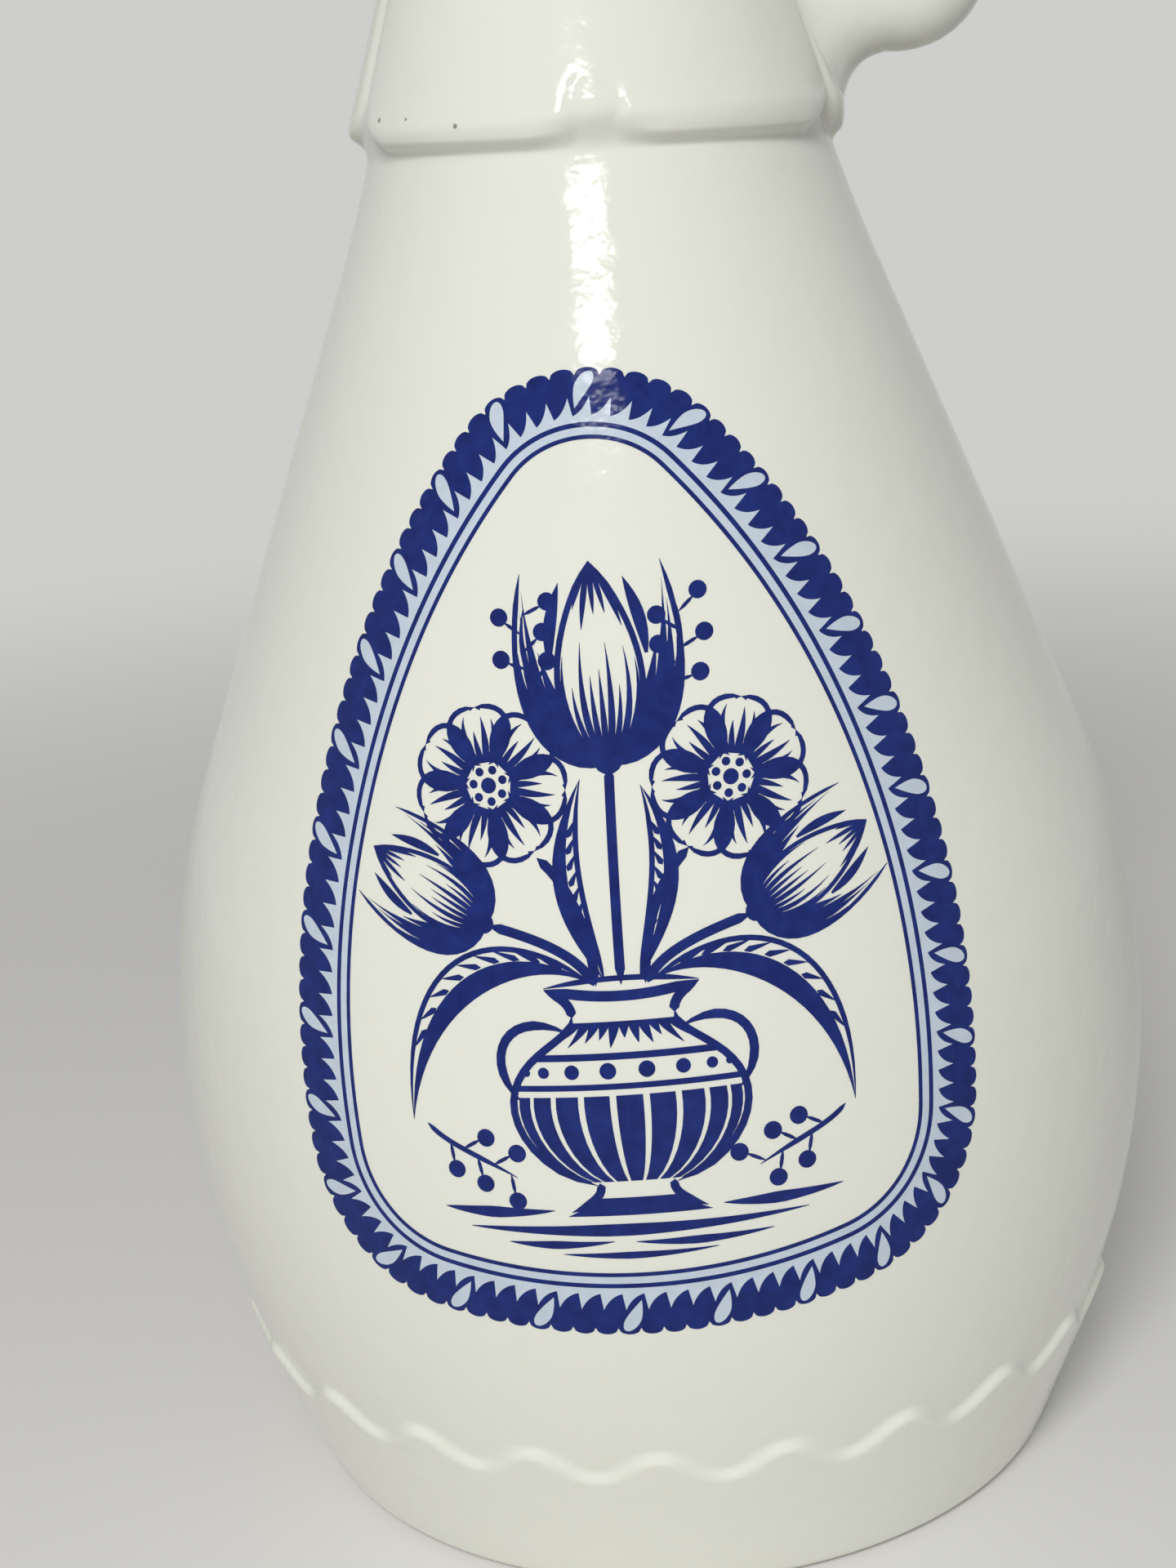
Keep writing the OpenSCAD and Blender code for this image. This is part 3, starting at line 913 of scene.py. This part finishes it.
class Brush:
    """Draws the picture's strokes and fills, in millimetres from the middle of its base line"""

    # Width of a stroke's pointed ends, and the power by which it swells from them
    hair = 0.05
    swelling = 0.7

    def __init__(self, sizes):
        self.bm = bmesh.new()
        self.origin = Vector((0, sizes.picture_base))

    def flat(self, point):
        return (point * MM + self.origin).to_3d()

    def lay(self, place, least=8):
        """Patch fine enough to follow the ware's curve both ways"""
        def span(line):
            points = [line(i / 8) for i in range(9)]
            return sum((b - a).length for a, b in zip(points, points[1:]))

        across = max(span(lambda t: place(t, v)) for v in (0.1, 0.5, 0.9))
        along = max(span(lambda t: place(h, t)) for h in (0, 1))
        columns = math.ceil(across / STROKE_GRAIN)
        patch(self.bm, columns, max(math.ceil(along / STROKE_GRAIN), least), place)

    def stroke(self, spine, width, fade_in=0.5, fade_out=0.5, steps=12):
        """Stroke along a Bezier spine, which swells from its start and thins out to its end"""
        spine = [Vector(point) for point in spine]

        def place(h, v):
            at = curve(spine, v)
            ahead = curve(spine, min(v + 0.01, 1)) - curve(spine, max(v - 0.01, 0))
            normal = Vector((-ahead.y, ahead.x)).normalized()
            swell = min(1, (v / fade_in) ** self.swelling, ((1 - v) / fade_out) ** self.swelling)
            half = max(width * swell, self.hair) / 2
            return self.flat(at + normal * half * (2 * h - 1))

        self.lay(place, steps)

    def between(self, left, right, low=0.0, high=1.0, sides=(0, 1)):
        """Filled shape between two Bezier edges, or a strip of it"""
        left = [Vector(point) for point in left]
        right = [Vector(point) for point in right]

        def place(h, v):
            t = low + (high - low) * v
            return self.flat(curve(left, t).lerp(curve(right, t), sides[0] + (sides[1] - sides[0]) * h))

        self.lay(place)

    def hatched(self, left, right, strokes, reach, dark=0.3):
        """Shading between two Bezier edges: strokes that lie close at the start and thin out"""
        left = [Vector(point) for point in left]
        right = [Vector(point) for point in right]
        start = 0.05
        for i in range(strokes):
            middle = (i + 0.5) / strokes
            # The strokes end unevenly, as if drawn by hand
            end = reach * (0.84 + 0.16 * math.sin(i * 2.4 + strokes))

            def place(h, v):
                t = start + (end - start) * v
                # Neighbours just overlap in the dark part, and end as fine lines
                width = 1.08 - 1.04 * max(v - dark, 0) / (1 - dark)
                across = middle + (h - 0.5) * width / strokes
                return self.flat(curve(left, t).lerp(curve(right, t), across))

            self.lay(place)

    def dot(self, centre, radius):
        """Filled round dot"""
        def place(h, v):
            a, b = 2 * h - 1, 2 * v - 1
            round_off = Vector((a * math.sqrt(1 - b * b / 2), b * math.sqrt(1 - a * a / 2)))
            return self.flat(Vector(centre) + radius * round_off)

        patch(self.bm, columns=4, rows=4, place=place)


def turned_points(points, base, lean, size):
    """Points of a flower's own drawing, moved to its place in the picture"""
    spin = Matrix.Rotation(math.radians(lean), 2)
    return [Vector(base) + spin @ (Vector(point) * size) for point in points]


def mirrored(points):
    return [(-x, y) for x, y in points]


def draw_tulip(brush, base, lean, size):
    """Tulip seen from the side: two dark outer petals, a shaded middle one and two tips behind"""
    def at(points):
        return turned_points(points, base, lean, size)

    outer = ((0.4, 0), (7.6, 0.4), (8.4, 8.6), (6.2, 17.4))
    seam = ((0.4, 0), (3.6, 3.6), (4.9, 9.6), (6.2, 17.4))
    behind = ((4.4, 9.4), (5.0, 12.4), (4.2, 14.4), (2.8, 16.4))
    behind_edge = ((4.1, 9.4), (3.4, 12.2), (3.0, 13.8), (2.8, 16.4))
    middle = ((0.2, 0.4), (5.4, 3.4), (4.4, 11.6), (0, 18))
    for mirror in (False, True):
        shape = [mirrored(edge) if mirror else edge for edge in (outer, seam, behind, behind_edge, middle)]
        brush.hatched(at(shape[0]), at(shape[1]), 4, 1.0, 0.72)
        brush.stroke(at(shape[0]), 0.5 * size, 0.1, 0.1, 14)
        brush.between(at(shape[2]), at(shape[3]))
        brush.stroke(at(shape[4]), 0.55 * size, 0.1, 0.1, 16)
    brush.hatched(at(mirrored(middle)), at(middle), 9, 0.66, 0.25)
    brush.hatched(at(mirrored(middle))[::-1], at(middle)[::-1], 5, 0.3, 0.2)
    brush.between(at(mirrored(middle)), at(middle), 0.9, 1)
    brush.dot(at([(0, 0.6)])[0], 1.3 * size)


def draw_blossom(brush, centre, radius, petals, spin):
    """Open flower seen from the front: shaded petals round a dotted heart"""
    left = ((-0.05, 0.26), (-0.5, 0.4), (-0.56, 1.04), (0, 0.98))
    sepal = ((0, 0.3), (-0.2, 0.46), (-0.12, 0.8), (0, 0.92))
    for i in range(petals):
        lean = spin + 360 * i / petals
        edges = [turned_points(edge, centre, lean, radius) for edge in (left, mirrored(left))]
        brush.hatched(*edges, 6, 0.72, 0.2)
        brush.hatched(edges[0][::-1], edges[1][::-1], 4, 0.22, 0.2)
        for edge in edges:
            brush.stroke(edge, 0.5, 0.1, 0.1, 14)
        between = lean + 180 / petals
        brush.between(*(turned_points(edge, centre, between, radius) for edge in (sepal, mirrored(sepal))))
        brush.dot(turned_points([(0, 0.2)], centre, between, radius)[0], 0.055 * radius)
    brush.dot(centre, 0.1 * radius)


def draw_leaf(brush, spine, width):
    """Leaf blade: a dark half, a light half with strokes across it, and a line round it"""
    spine = [Vector(point) for point in spine]
    axis = (spine[-1] - spine[0]).normalized()
    out = Vector((-axis.y, axis.x)) * width
    dark = [spine[0]] + [point + out for point in spine[1:-1]] + [spine[-1]]
    light = [spine[0]] + [point - out * 0.8 for point in spine[1:-1]] + [spine[-1]]
    brush.between(dark, spine, 0.02, 1)
    brush.stroke(light, 0.5, 0.1, 0.2, 14)
    veins = 9
    for i in range(veins):
        t = 0.1 + 0.72 * i / veins
        rim = curve(light, t + 0.1)
        rib = curve(spine, t)
        brush.stroke((rib.lerp(rim, 0.1), rib.lerp(rim, 0.86)), 0.62, 0.1, 0.9, 5)


def draw_vase(brush):
    """Two-handled vase on a foot: rolled lip, shaded neck, beaded band and gadrooned belly"""
    side = ((-4.6, 19.4), (-4.4, 15.8), (-14.6, 16.6), (-12.6, 6.0), (-3.6, 3.6))
    lip = ((-4.6, 19.2), (-4.5, 20.8), (-7.0, 21.8))
    foot = ((-3.4, 3.8), (-2.8, 2.4), (-6.2, 1.0))
    ear = ((-5.0, 17.8), (-10.5, 20.6), (-13.6, 15.6), (-9.9, 11.6))
    edges = (side, mirrored(side))
    band = 0.43

    def round_share(number, total, spread=1.0):
        """Place across the round belly, from -1 to 1, of a number out of like marks"""
        return math.sin((number - total / 2) / total * math.pi * spread)

    for mirror in (False, True):
        shape = [mirrored(line) if mirror else line for line in (side, lip, foot, ear)]
        brush.stroke(shape[0], 0.7, 0.1, 0.1, 18)
        brush.stroke(shape[1], 0.9, 0.1, 0.2, 8)
        brush.stroke(shape[2], 0.8, 0.1, 0.3, 8)
        brush.stroke(shape[3], 0.85, 0.2, 0.2, 14)
    brush.stroke(((-7.0, 21.9), (0, 23.3), (7.0, 21.9)), 0.5, 0.2, 0.2, 14)
    brush.stroke(((-7.0, 21.8), (0, 20.2), (7.0, 21.8)), 0.95, 0.15, 0.15, 14)
    brush.between(((-3.2, 3.2), (-3.4, 2.0), (-6.6, 0.6)), ((3.2, 3.2), (3.4, 2.0), (6.6, 0.6)), 0.35, 1)
    brush.hatched(*edges, 11, 0.27, 0.2)
    brush.between(*edges, 0.31, 0.36)
    brush.between(*edges, 0.5, 0.53)
    left, right = (curve([Vector(point) for point in edge], band) for edge in edges)
    beads = 8
    for i in range(beads):
        part = round_share(i + 0.5, beads, 0.94)
        # Beads look smaller where the belly turns away
        brush.dot(left.lerp(right, 0.5 + part / 2), 0.72 * math.sqrt(1.15 - part ** 2))
    gadroons = 11
    for i in range(gadroons):
        low, high = (0.5 + round_share(i + end, gadroons) / 2 for end in (0.1, 0.9))
        brush.between(*edges, 0.56, 0.97, (low, high))


def draw_sprig(brush, spine, berries):
    """Thin twig with berries on short stalks at both sides"""
    spine = [Vector(point) for point in spine]
    brush.stroke(spine, 0.5, 0.1, 0.3, 12)
    for i in range(berries):
        t = 0.35 + 0.6 * i / (berries - 1)
        at = curve(spine, t)
        ahead = (curve(spine, min(t + 0.02, 1)) - curve(spine, t - 0.02)).normalized()
        side = Vector((-ahead.y, ahead.x)) * (1 if i % 2 else -1)
        end = at + side * 1.7 + ahead * 1.2
        brush.stroke((at, end), 0.34, 0.1, 0.1, 3)
        brush.dot(end + (side + ahead) * 0.4, 0.85)


def build_picture(sizes, bottle_sizes, blue):
    field = PrintField(sizes, WareLine(bottle_sizes))
    brush = Brush(sizes)
    draw_vase(brush)
    mouth = 22
    tulips = [((0.3, 41.5), 2, 1.04), ((-11.8, 27.6), 60, 0.74), ((12.2, 27.0), -62, 0.74)]
    for base, lean, size in tulips:
        draw_tulip(brush, base, lean, size)
        stem = ((base[0] * 0.2, mouth), (base[0] * 0.3, base[1] * 0.6 + 9), base)
        brush.stroke(stem, 0.9, 0.05, 0.05, 14)
    blossoms = [((-10.9, 40.2), 7.3, 7, 8), ((11.2, 39.4), 7.3, 7, -12)]
    for centre, radius, petals, spin in blossoms:
        stem = ((centre[0] * 0.2, mouth), (centre[0] * 0.24, 30), (centre[0] * 0.62, 33.6))
        brush.stroke(stem, 0.9, 0.05, 0.05, 14)
        draw_blossom(brush, centre, radius, petals, spin)
    draw_leaf(brush, ((-2.6, 22.2), (-10, 27.6), (-20, 23), (-20.8, 9.4)), 2.7)
    draw_leaf(brush, ((2.8, 22.2), (10.4, 27), (20.4, 22), (20.6, 8.6)), -2.7)
    draw_leaf(brush, ((-1.4, 22.4), (-3.8, 28), (-5.6, 33), (-2.4, 40.5)), 1.8)
    draw_leaf(brush, ((1.8, 22.4), (4.4, 28.6), (6.0, 33), (3.0, 39.6)), -1.8)
    sprigs = [
        ((-4.4, 45.6), (-6.2, 49), (-7.6, 52), (-6.6, 56.2)),
        ((4.8, 45), (6.8, 48.4), (8.0, 51.4), (7.4, 55.4)),
        ((-19.4, 9.2), (-17.8, 7.4), (-14.8, 6.6), (-11.0, 4.4)),
        ((19.6, 8.4), (18.0, 6.8), (15.0, 6.2), (11.2, 4.2))]
    for spine in sprigs:
        draw_sprig(brush, spine, berries=5)
    table = (
        (-18.4, 1.2, -7.8, 1.1), (7.6, 1.0, 18.8, 1.1), (-16.0, -0.6, 15.4, 1.2), (-12.4, -2.0, -2.6, 0.8),
        (-0.6, -2.1, 12.0, 0.8), (-7.4, -3.2, 6.8, 0.7))
    for start, height, end, width in table:
        spine = ((start, height), ((start + end) / 2, height - 0.5), (end, height))
        brush.stroke(spine, width, 0.4, 0.5, 12)
    field.add_piece("print_picture", brush.bm, blue, PICTURE_STEP)


# Finishes

# Waves of the glaze in a metre, and their height
GLAZE_WAVES = 260.0
GLAZE_RELIEF = 0.11 * MM
# Pinholes in the glaze at the hem: degrees from the front, height and radius in millimetres
PITS = ((-56.5, 143.0, 0.34), (-46.0, 142.9, 0.22), (-31.3, 141.95, 0.32))


def add_node(tree, kind, inputs=None, **settings):
    """New node with its settings, and plain values or links for its inputs, by name or number"""
    node = tree.nodes.new(kind)
    for name, value in settings.items():
        setattr(node, name, value)
    for name, value in (inputs or {}).items():
        socket = node.inputs[name]
        if isinstance(value, bpy.types.NodeSocket):
            tree.links.new(value, socket)
        else:
            socket.default_value = value
    return node


def new_material(name):
    """Material with its shader and the object's coordinates"""
    material = bpy.data.materials.new(name)
    material.use_nodes = True
    tree = material.node_tree
    tree.nodes.clear()
    shader = add_node(tree, "ShaderNodeBsdfPrincipled")
    output = add_node(tree, "ShaderNodeOutputMaterial")
    tree.links.new(shader.outputs["BSDF"], output.inputs["Surface"])
    place = add_node(tree, "ShaderNodeTexCoord").outputs["Object"]
    return material, tree, shader, place


def set_plain(shader, **values):
    """Sets what is the same all over the surface, on the shader's own sockets"""
    for name, value in values.items():
        shader.inputs[name.replace("_", " ")].default_value = value


def mix_colours(tree, factor, first, second):
    """Colour that goes from the first to the second with the factor"""
    a, b = (end if isinstance(end, bpy.types.NodeSocket) else (*end, 1) for end in (first, second))
    return add_node(
        tree, "ShaderNodeMix", {"Factor": factor, "A": a, "B": b}, data_type="RGBA").outputs["Result"]


def calculate(tree, operation, first, second):
    """Two values joined by an operation"""
    return add_node(tree, "ShaderNodeMath", {0: first, 1: second}, operation=operation).outputs["Value"]


def cloud(tree, place, scale, detail):
    """Soft noise over the surface, from 0 to 1"""
    return add_node(
        tree, "ShaderNodeTexNoise", {"Vector": place, "Scale": scale, "Detail": detail}).outputs["Fac"]


def spread(tree, value, low=0, high=1, to=(0, 1), interpolation="LINEAR"):
    """Goes from one end to the other while a value goes from low to high"""
    ends = {"From Min": low, "From Max": high, "To Min": to[0], "To Max": to[1]}
    return add_node(
        tree, "ShaderNodeMapRange", {"Value": value, **ends},
        interpolation_type=interpolation).outputs["Result"]


def seen_directly(tree):
    """1 for rays from the camera, from gloss and through glass, and 0 for soft light"""
    path = add_node(tree, "ShaderNodeLightPath")
    seen = path.outputs["Is Camera Ray"]
    for ray in ("Is Glossy Ray", "Is Transmission Ray"):
        seen = calculate(tree, "MAXIMUM", seen, path.outputs[ray])
    return seen


def glaze_group():
    """Shared surface of the glaze: fine waves, slow changes of thickness and small ones of gloss"""
    name = "Glaze surface"
    if name in bpy.data.node_groups:
        return bpy.data.node_groups[name]
    tree = bpy.data.node_groups.new(name, "ShaderNodeTree")
    for socket, kind, direction in (
            ("Place", "NodeSocketVector", "INPUT"), ("Wave size", "NodeSocketFloat", "INPUT"),
            ("Height", "NodeSocketFloat", "OUTPUT"), ("Thickness", "NodeSocketFloat", "OUTPUT"),
            ("Roughness", "NodeSocketFloat", "OUTPUT")):
        tree.interface.new_socket(socket, in_out=direction, socket_type=kind)
    given = tree.nodes.new("NodeGroupInput")
    result = tree.nodes.new("NodeGroupOutput")
    place = given.outputs["Place"]
    waves = cloud(tree, place, scale=given.outputs["Wave size"], detail=3.0)
    slow = cloud(tree, place, scale=16.0, detail=2.0)
    fine = cloud(tree, place, scale=420.0, detail=3.0)
    tree.links.new(waves, result.inputs["Height"])
    tree.links.new(slow, result.inputs["Thickness"])
    tree.links.new(spread(tree, fine, to=(0.07, 0.12)), result.inputs["Roughness"])
    return tree


def glazed(tree, shader, place):
    """Gives a shader the surface of the glaze, and returns the glaze's thickness"""
    surface = add_node(
        tree, "ShaderNodeGroup", {"Place": place, "Wave size": GLAZE_WAVES}, node_tree=glaze_group())
    relief = add_node(
        tree, "ShaderNodeBump",
        {"Height": surface.outputs["Height"], "Strength": 1.0, "Distance": GLAZE_RELIEF})
    tree.links.new(relief.outputs["Normal"], shader.inputs["Normal"])
    tree.links.new(surface.outputs["Roughness"], shader.inputs["Roughness"])
    set_plain(shader, IOR=1.52)
    return surface.outputs["Thickness"]


def pit_mask(tree, place, pits):
    """Mask of the pinholes in the glaze: 1 in a pit, 0 elsewhere"""
    floor_share = 0.4
    mask = None
    for point, radius in pits:
        near = add_node(tree, "ShaderNodeVectorMath", {0: place, 1: point}, operation="DISTANCE")
        dot = spread(
            tree, near.outputs["Value"], radius, radius * floor_share, interpolation="SMOOTHSTEP")
        mask = dot if mask is None else calculate(tree, "MAXIMUM", mask, dot)
    return mask


def ware_finish(name, colours, line):
    """Warm white glaze, with slow changes of tone and three pinholes at the hem"""
    material, tree, shader, place = new_material(name)
    thickness = glazed(tree, shader, place)
    tone = mix_colours(tree, thickness, colours.ware, colours.ware_cool)
    pits = []
    for turn, height, radius in PITS:
        turn = math.radians(turn)
        pits.append((polar(line.outside(height * MM, turn), turn, height * MM), radius * MM))
    tone = mix_colours(tree, pit_mask(tree, place, pits), tone, colours.pit)
    tree.links.new(tone, shader.inputs["Base Color"])
    set_plain(
        shader, Subsurface_Weight=0.12, Subsurface_Radius=(1.0, 0.85, 0.6), Subsurface_Scale=1.5 * MM)
    return material


def print_finish(name, full, thin):
    """Fired print under the same glaze, a little uneven in strength"""
    material, tree, shader, place = new_material(name)
    glazed(tree, shader, place)
    grain = cloud(tree, place, scale=650.0, detail=4.0)
    tone = mix_colours(tree, spread(tree, grain, 0.35, 0.75), full, thin)
    tree.links.new(tone, shader.inputs["Base Color"])
    set_plain(shader, Specular_IOR_Level=0.25)
    return material


def cork_finish(colours):
    """Bare cork: soft grain, and dark pores drawn out up the cork"""
    material, tree, shader, place = new_material("Bare cork")
    stretch = add_node(
        tree, "ShaderNodeMapping", {"Vector": place, "Scale": (1, 1, PORE_STRETCH)}).outputs["Vector"]
    grain = cloud(tree, stretch, scale=380.0, detail=6.0)
    pores = add_node(tree, "ShaderNodeTexVoronoi", {"Vector": stretch, "Scale": 520.0})
    dark = spread(tree, pores.outputs["Distance"], 0.28, 0.08)
    grained = spread(tree, grain, 0.35, 0.75, to=(0, 0.55))
    mask = calculate(tree, "MAXIMUM", dark, grained)
    tone = mix_colours(tree, mask, colours.cork, colours.cork_dark)
    tree.links.new(tone, shader.inputs["Base Color"])
    tree.links.new(spread(tree, grain, to=(0.7, 0.95)), shader.inputs["Roughness"])
    relief = add_node(
        tree, "ShaderNodeBump", {"Height": mask, "Strength": 0.6, "Distance": 0.15 * MM}, invert=True)
    tree.links.new(relief.outputs["Normal"], shader.inputs["Normal"])
    return material


def floor_finish(studio, colours):
    """Plain pale floor, which keeps the shadow and fades into the surroundings further out"""
    material, tree, shader, place = new_material("Pale floor")
    paler = [min(channel * 1.02, 1) for channel in colours.floor]
    tone = mix_colours(tree, cloud(tree, place, scale=3.0, detail=2.0), colours.floor, paler)
    away = add_node(tree, "ShaderNodeVectorMath", {"Vector": place}, operation="LENGTH")
    far = spread(
        tree, away.outputs["Value"], studio.floor_near, studio.floor_far, interpolation="SMOOTHSTEP")
    black = (0, 0, 0)
    tree.links.new(mix_colours(tree, far, tone, black), shader.inputs["Base Color"])
    shown = calculate(tree, "MULTIPLY", far, seen_directly(tree))
    glow = mix_colours(tree, shown, black, colours.backdrop)
    tree.links.new(glow, shader.inputs["Emission Color"])
    set_plain(shader, Emission_Strength=1, Roughness=0.9, Specular_IOR_Level=0)
    return material


# Studio

# Places, widths and heights of the lamps, and the place that they point at
KEY_PLACE = (-0.13, -0.71, 0.57)
KEY_SIZE = (0.3, 0.3)
SHINE_PLACE = (-0.033, -0.298, 0.33)
SHINE_SIZE = (0.09, 0.027)
LAMP_TARGET = Vector((0, 0, 90 * MM))
# The floor lies this far under the foot
FLOOR_GAP = 0.02 * MM


def add_lamp(name, place, size, energy):
    """Round lamp that points at the bottle and isn't seen by the camera itself"""
    lamp = bpy.data.lights.new(name, "AREA")
    lamp.shape = "ELLIPSE"
    lamp.size, lamp.size_y = size
    lamp.energy = energy
    holder = bpy.data.objects.new(name, lamp)
    holder.location = place
    holder.rotation_euler = (LAMP_TARGET - Vector(place)).to_track_quat("-Z", "Y").to_euler()
    holder.visible_camera = False
    bpy.context.scene.collection.objects.link(holder)
    return holder


def add_camera(studio):
    """Camera at the photograph's view, held by its pitch, yaw and roll"""
    camera = bpy.data.cameras.new("photo_view")
    camera.sensor_fit = "VERTICAL"
    camera.sensor_height = 36
    camera.lens = camera.sensor_height * studio.lens
    camera.clip_start = 10 * MM
    holder = bpy.data.objects.new("photo_view", camera)
    level = Vector((math.sin(studio.yaw), math.cos(studio.yaw), 0))
    right = Vector((math.cos(studio.yaw), -math.sin(studio.yaw), 0))
    forward = math.cos(studio.pitch) * level - math.sin(studio.pitch) * Vector((0, 0, 1))
    up = math.sin(studio.pitch) * level + math.cos(studio.pitch) * Vector((0, 0, 1))
    rolled_right = math.cos(studio.roll) * right + math.sin(studio.roll) * up
    rolled_up = math.cos(studio.roll) * up - math.sin(studio.roll) * right
    turn = Matrix((rolled_right, rolled_up, -forward)).transposed()
    place = Vector((0, -studio.camera_back, studio.camera_height))
    holder.matrix_world = Matrix.Translation(place) @ turn.to_4x4()
    bpy.context.scene.collection.objects.link(holder)
    bpy.context.scene.camera = holder


def set_surroundings(studio, colours):
    """Pale surroundings for the camera and for reflections, and soft light from all round"""
    world = bpy.data.worlds.new("Studio")
    world.use_nodes = True
    tree = world.node_tree
    tree.nodes.clear()
    light = [studio.ambient] * 3
    tone = mix_colours(tree, seen_directly(tree), light, colours.backdrop)
    background = add_node(tree, "ShaderNodeBackground", {"Color": tone})
    output = add_node(tree, "ShaderNodeOutputWorld")
    tree.links.new(background.outputs["Background"], output.inputs["Surface"])
    bpy.context.scene.world = world


def build_studio(studio, colours):
    bm = bmesh.new()
    bmesh.ops.create_circle(bm, cap_ends=True, segments=96, radius=studio.floor_radius)
    bmesh.ops.translate(bm, verts=bm.verts, vec=(0, 0, -FLOOR_GAP))
    mesh = bpy.data.meshes.new("floor")
    bm.to_mesh(mesh)
    bm.free()
    mesh.materials.append(floor_finish(studio, colours))
    floor = bpy.data.objects.new("floor", mesh)
    bpy.context.scene.collection.objects.link(floor)
    softbox = add_lamp("softbox", KEY_PLACE, KEY_SIZE, studio.key_power)
    # Only the small lamp shows in the glaze
    softbox.visible_glossy = False
    add_lamp("shine_lamp", SHINE_PLACE, SHINE_SIZE, studio.shine_power)
    set_surroundings(studio, colours)
    add_camera(studio)
    bpy.context.scene.view_settings.view_transform = "Standard"


# Shared finishes, each made once and used by every piece that has it

def ware_material(scene):
    name = "Warm white glaze"
    made = bpy.data.materials.get(name)
    return made or ware_finish(name, scene.finish_colours, WareLine(scene.bottle_sizes))


def blue_material(scene):
    name = "Deep blue print"
    colours = scene.finish_colours
    return bpy.data.materials.get(name) or print_finish(name, colours.blue, colours.blue_thin)


def tint_material(scene):
    name = "Pale blue wash"
    colours = scene.finish_colours
    return bpy.data.materials.get(name) or print_finish(name, colours.tint, colours.tint_thin)


# Operators

class BOTTLE_OT_ware(bpy.types.Operator):
    """Build the glazed bottle with its scalloped foot and lobed sleeve"""

    bl_idname = "bottle.ware"
    bl_label = "Ware"

    def execute(self, context):
        scene = context.scene
        build_bottle(scene.bottle_sizes, ware_material(scene))
        return {"FINISHED"}


class BOTTLE_OT_handle(bpy.types.Operator):
    """Build the ear handle with its roots on the sleeve and the neck"""

    bl_idname = "bottle.handle"
    bl_label = "Handle"

    def execute(self, context):
        scene = context.scene
        build_handle(scene.handle_sizes, scene.bottle_sizes, ware_material(scene))
        return {"FINISHED"}


class BOTTLE_OT_stopper(bpy.types.Operator):
    """Build the stopper's head and its cork"""

    bl_idname = "bottle.stopper"
    bl_label = "Stopper"

    def execute(self, context):
        scene = context.scene
        build_stopper_head(scene.stopper_sizes, ware_material(scene))
        build_stopper_cork(scene.stopper_sizes, cork_finish(scene.finish_colours))
        return {"FINISHED"}


class BOTTLE_OT_border(bpy.types.Operator):
    """Print the egg-shaped frame: its wash, lines, lobes and drops"""

    bl_idname = "bottle.border"
    bl_label = "Printed frame"

    def execute(self, context):
        scene = context.scene
        build_border(scene.print_sizes, scene.bottle_sizes, blue_material(scene), tint_material(scene))
        return {"FINISHED"}


class BOTTLE_OT_picture(bpy.types.Operator):
    """Print the vase of tulips inside the frame"""

    bl_idname = "bottle.picture"
    bl_label = "Printed picture"

    def execute(self, context):
        scene = context.scene
        build_picture(scene.print_sizes, scene.bottle_sizes, blue_material(scene))
        return {"FINISHED"}


class BOTTLE_OT_studio(bpy.types.Operator):
    """Set up the floor, the lights, the surroundings and the camera"""

    bl_idname = "bottle.studio"
    bl_label = "Studio"

    def execute(self, context):
        build_studio(context.scene.studio_settings, context.scene.finish_colours)
        return {"FINISHED"}


class BOTTLE_PT_panel(bpy.types.Panel):
    """Lists the bottle's steps"""

    bl_idname = "BOTTLE_PT_panel"
    bl_label = "Handled Bottle"
    bl_space_type = "VIEW_3D"
    bl_region_type = "UI"
    bl_category = "Bottle"

    def draw(self, context):
        for operator in OPERATORS:
            self.layout.operator(operator.bl_idname)


GROUPS = {
    "bottle_sizes": BottleSizes,
    "handle_sizes": HandleSizes,
    "stopper_sizes": StopperSizes,
    "print_sizes": PrintSizes,
    "finish_colours": FinishColours,
    "studio_settings": StudioSettings,
}
OPERATORS = (
    BOTTLE_OT_ware, BOTTLE_OT_handle, BOTTLE_OT_stopper, BOTTLE_OT_border, BOTTLE_OT_picture,
    BOTTLE_OT_studio)
CLASSES = (*GROUPS.values(), *OPERATORS, BOTTLE_PT_panel)


def register():
    for made in CLASSES:
        bpy.utils.register_class(made)
    for name, group in GROUPS.items():
        setattr(bpy.types.Scene, name, bpy.props.PointerProperty(type=group))


def unregister():
    for name in GROUPS:
        delattr(bpy.types.Scene, name)
    for made in reversed(CLASSES):
        bpy.utils.unregister_class(made)


def main():
    register()
    bpy.ops.bottle.ware()
    bpy.ops.bottle.handle()
    bpy.ops.bottle.stopper()
    bpy.ops.bottle.border()
    bpy.ops.bottle.picture()
    bpy.ops.bottle.studio()


if __name__ == "__main__":
    main()
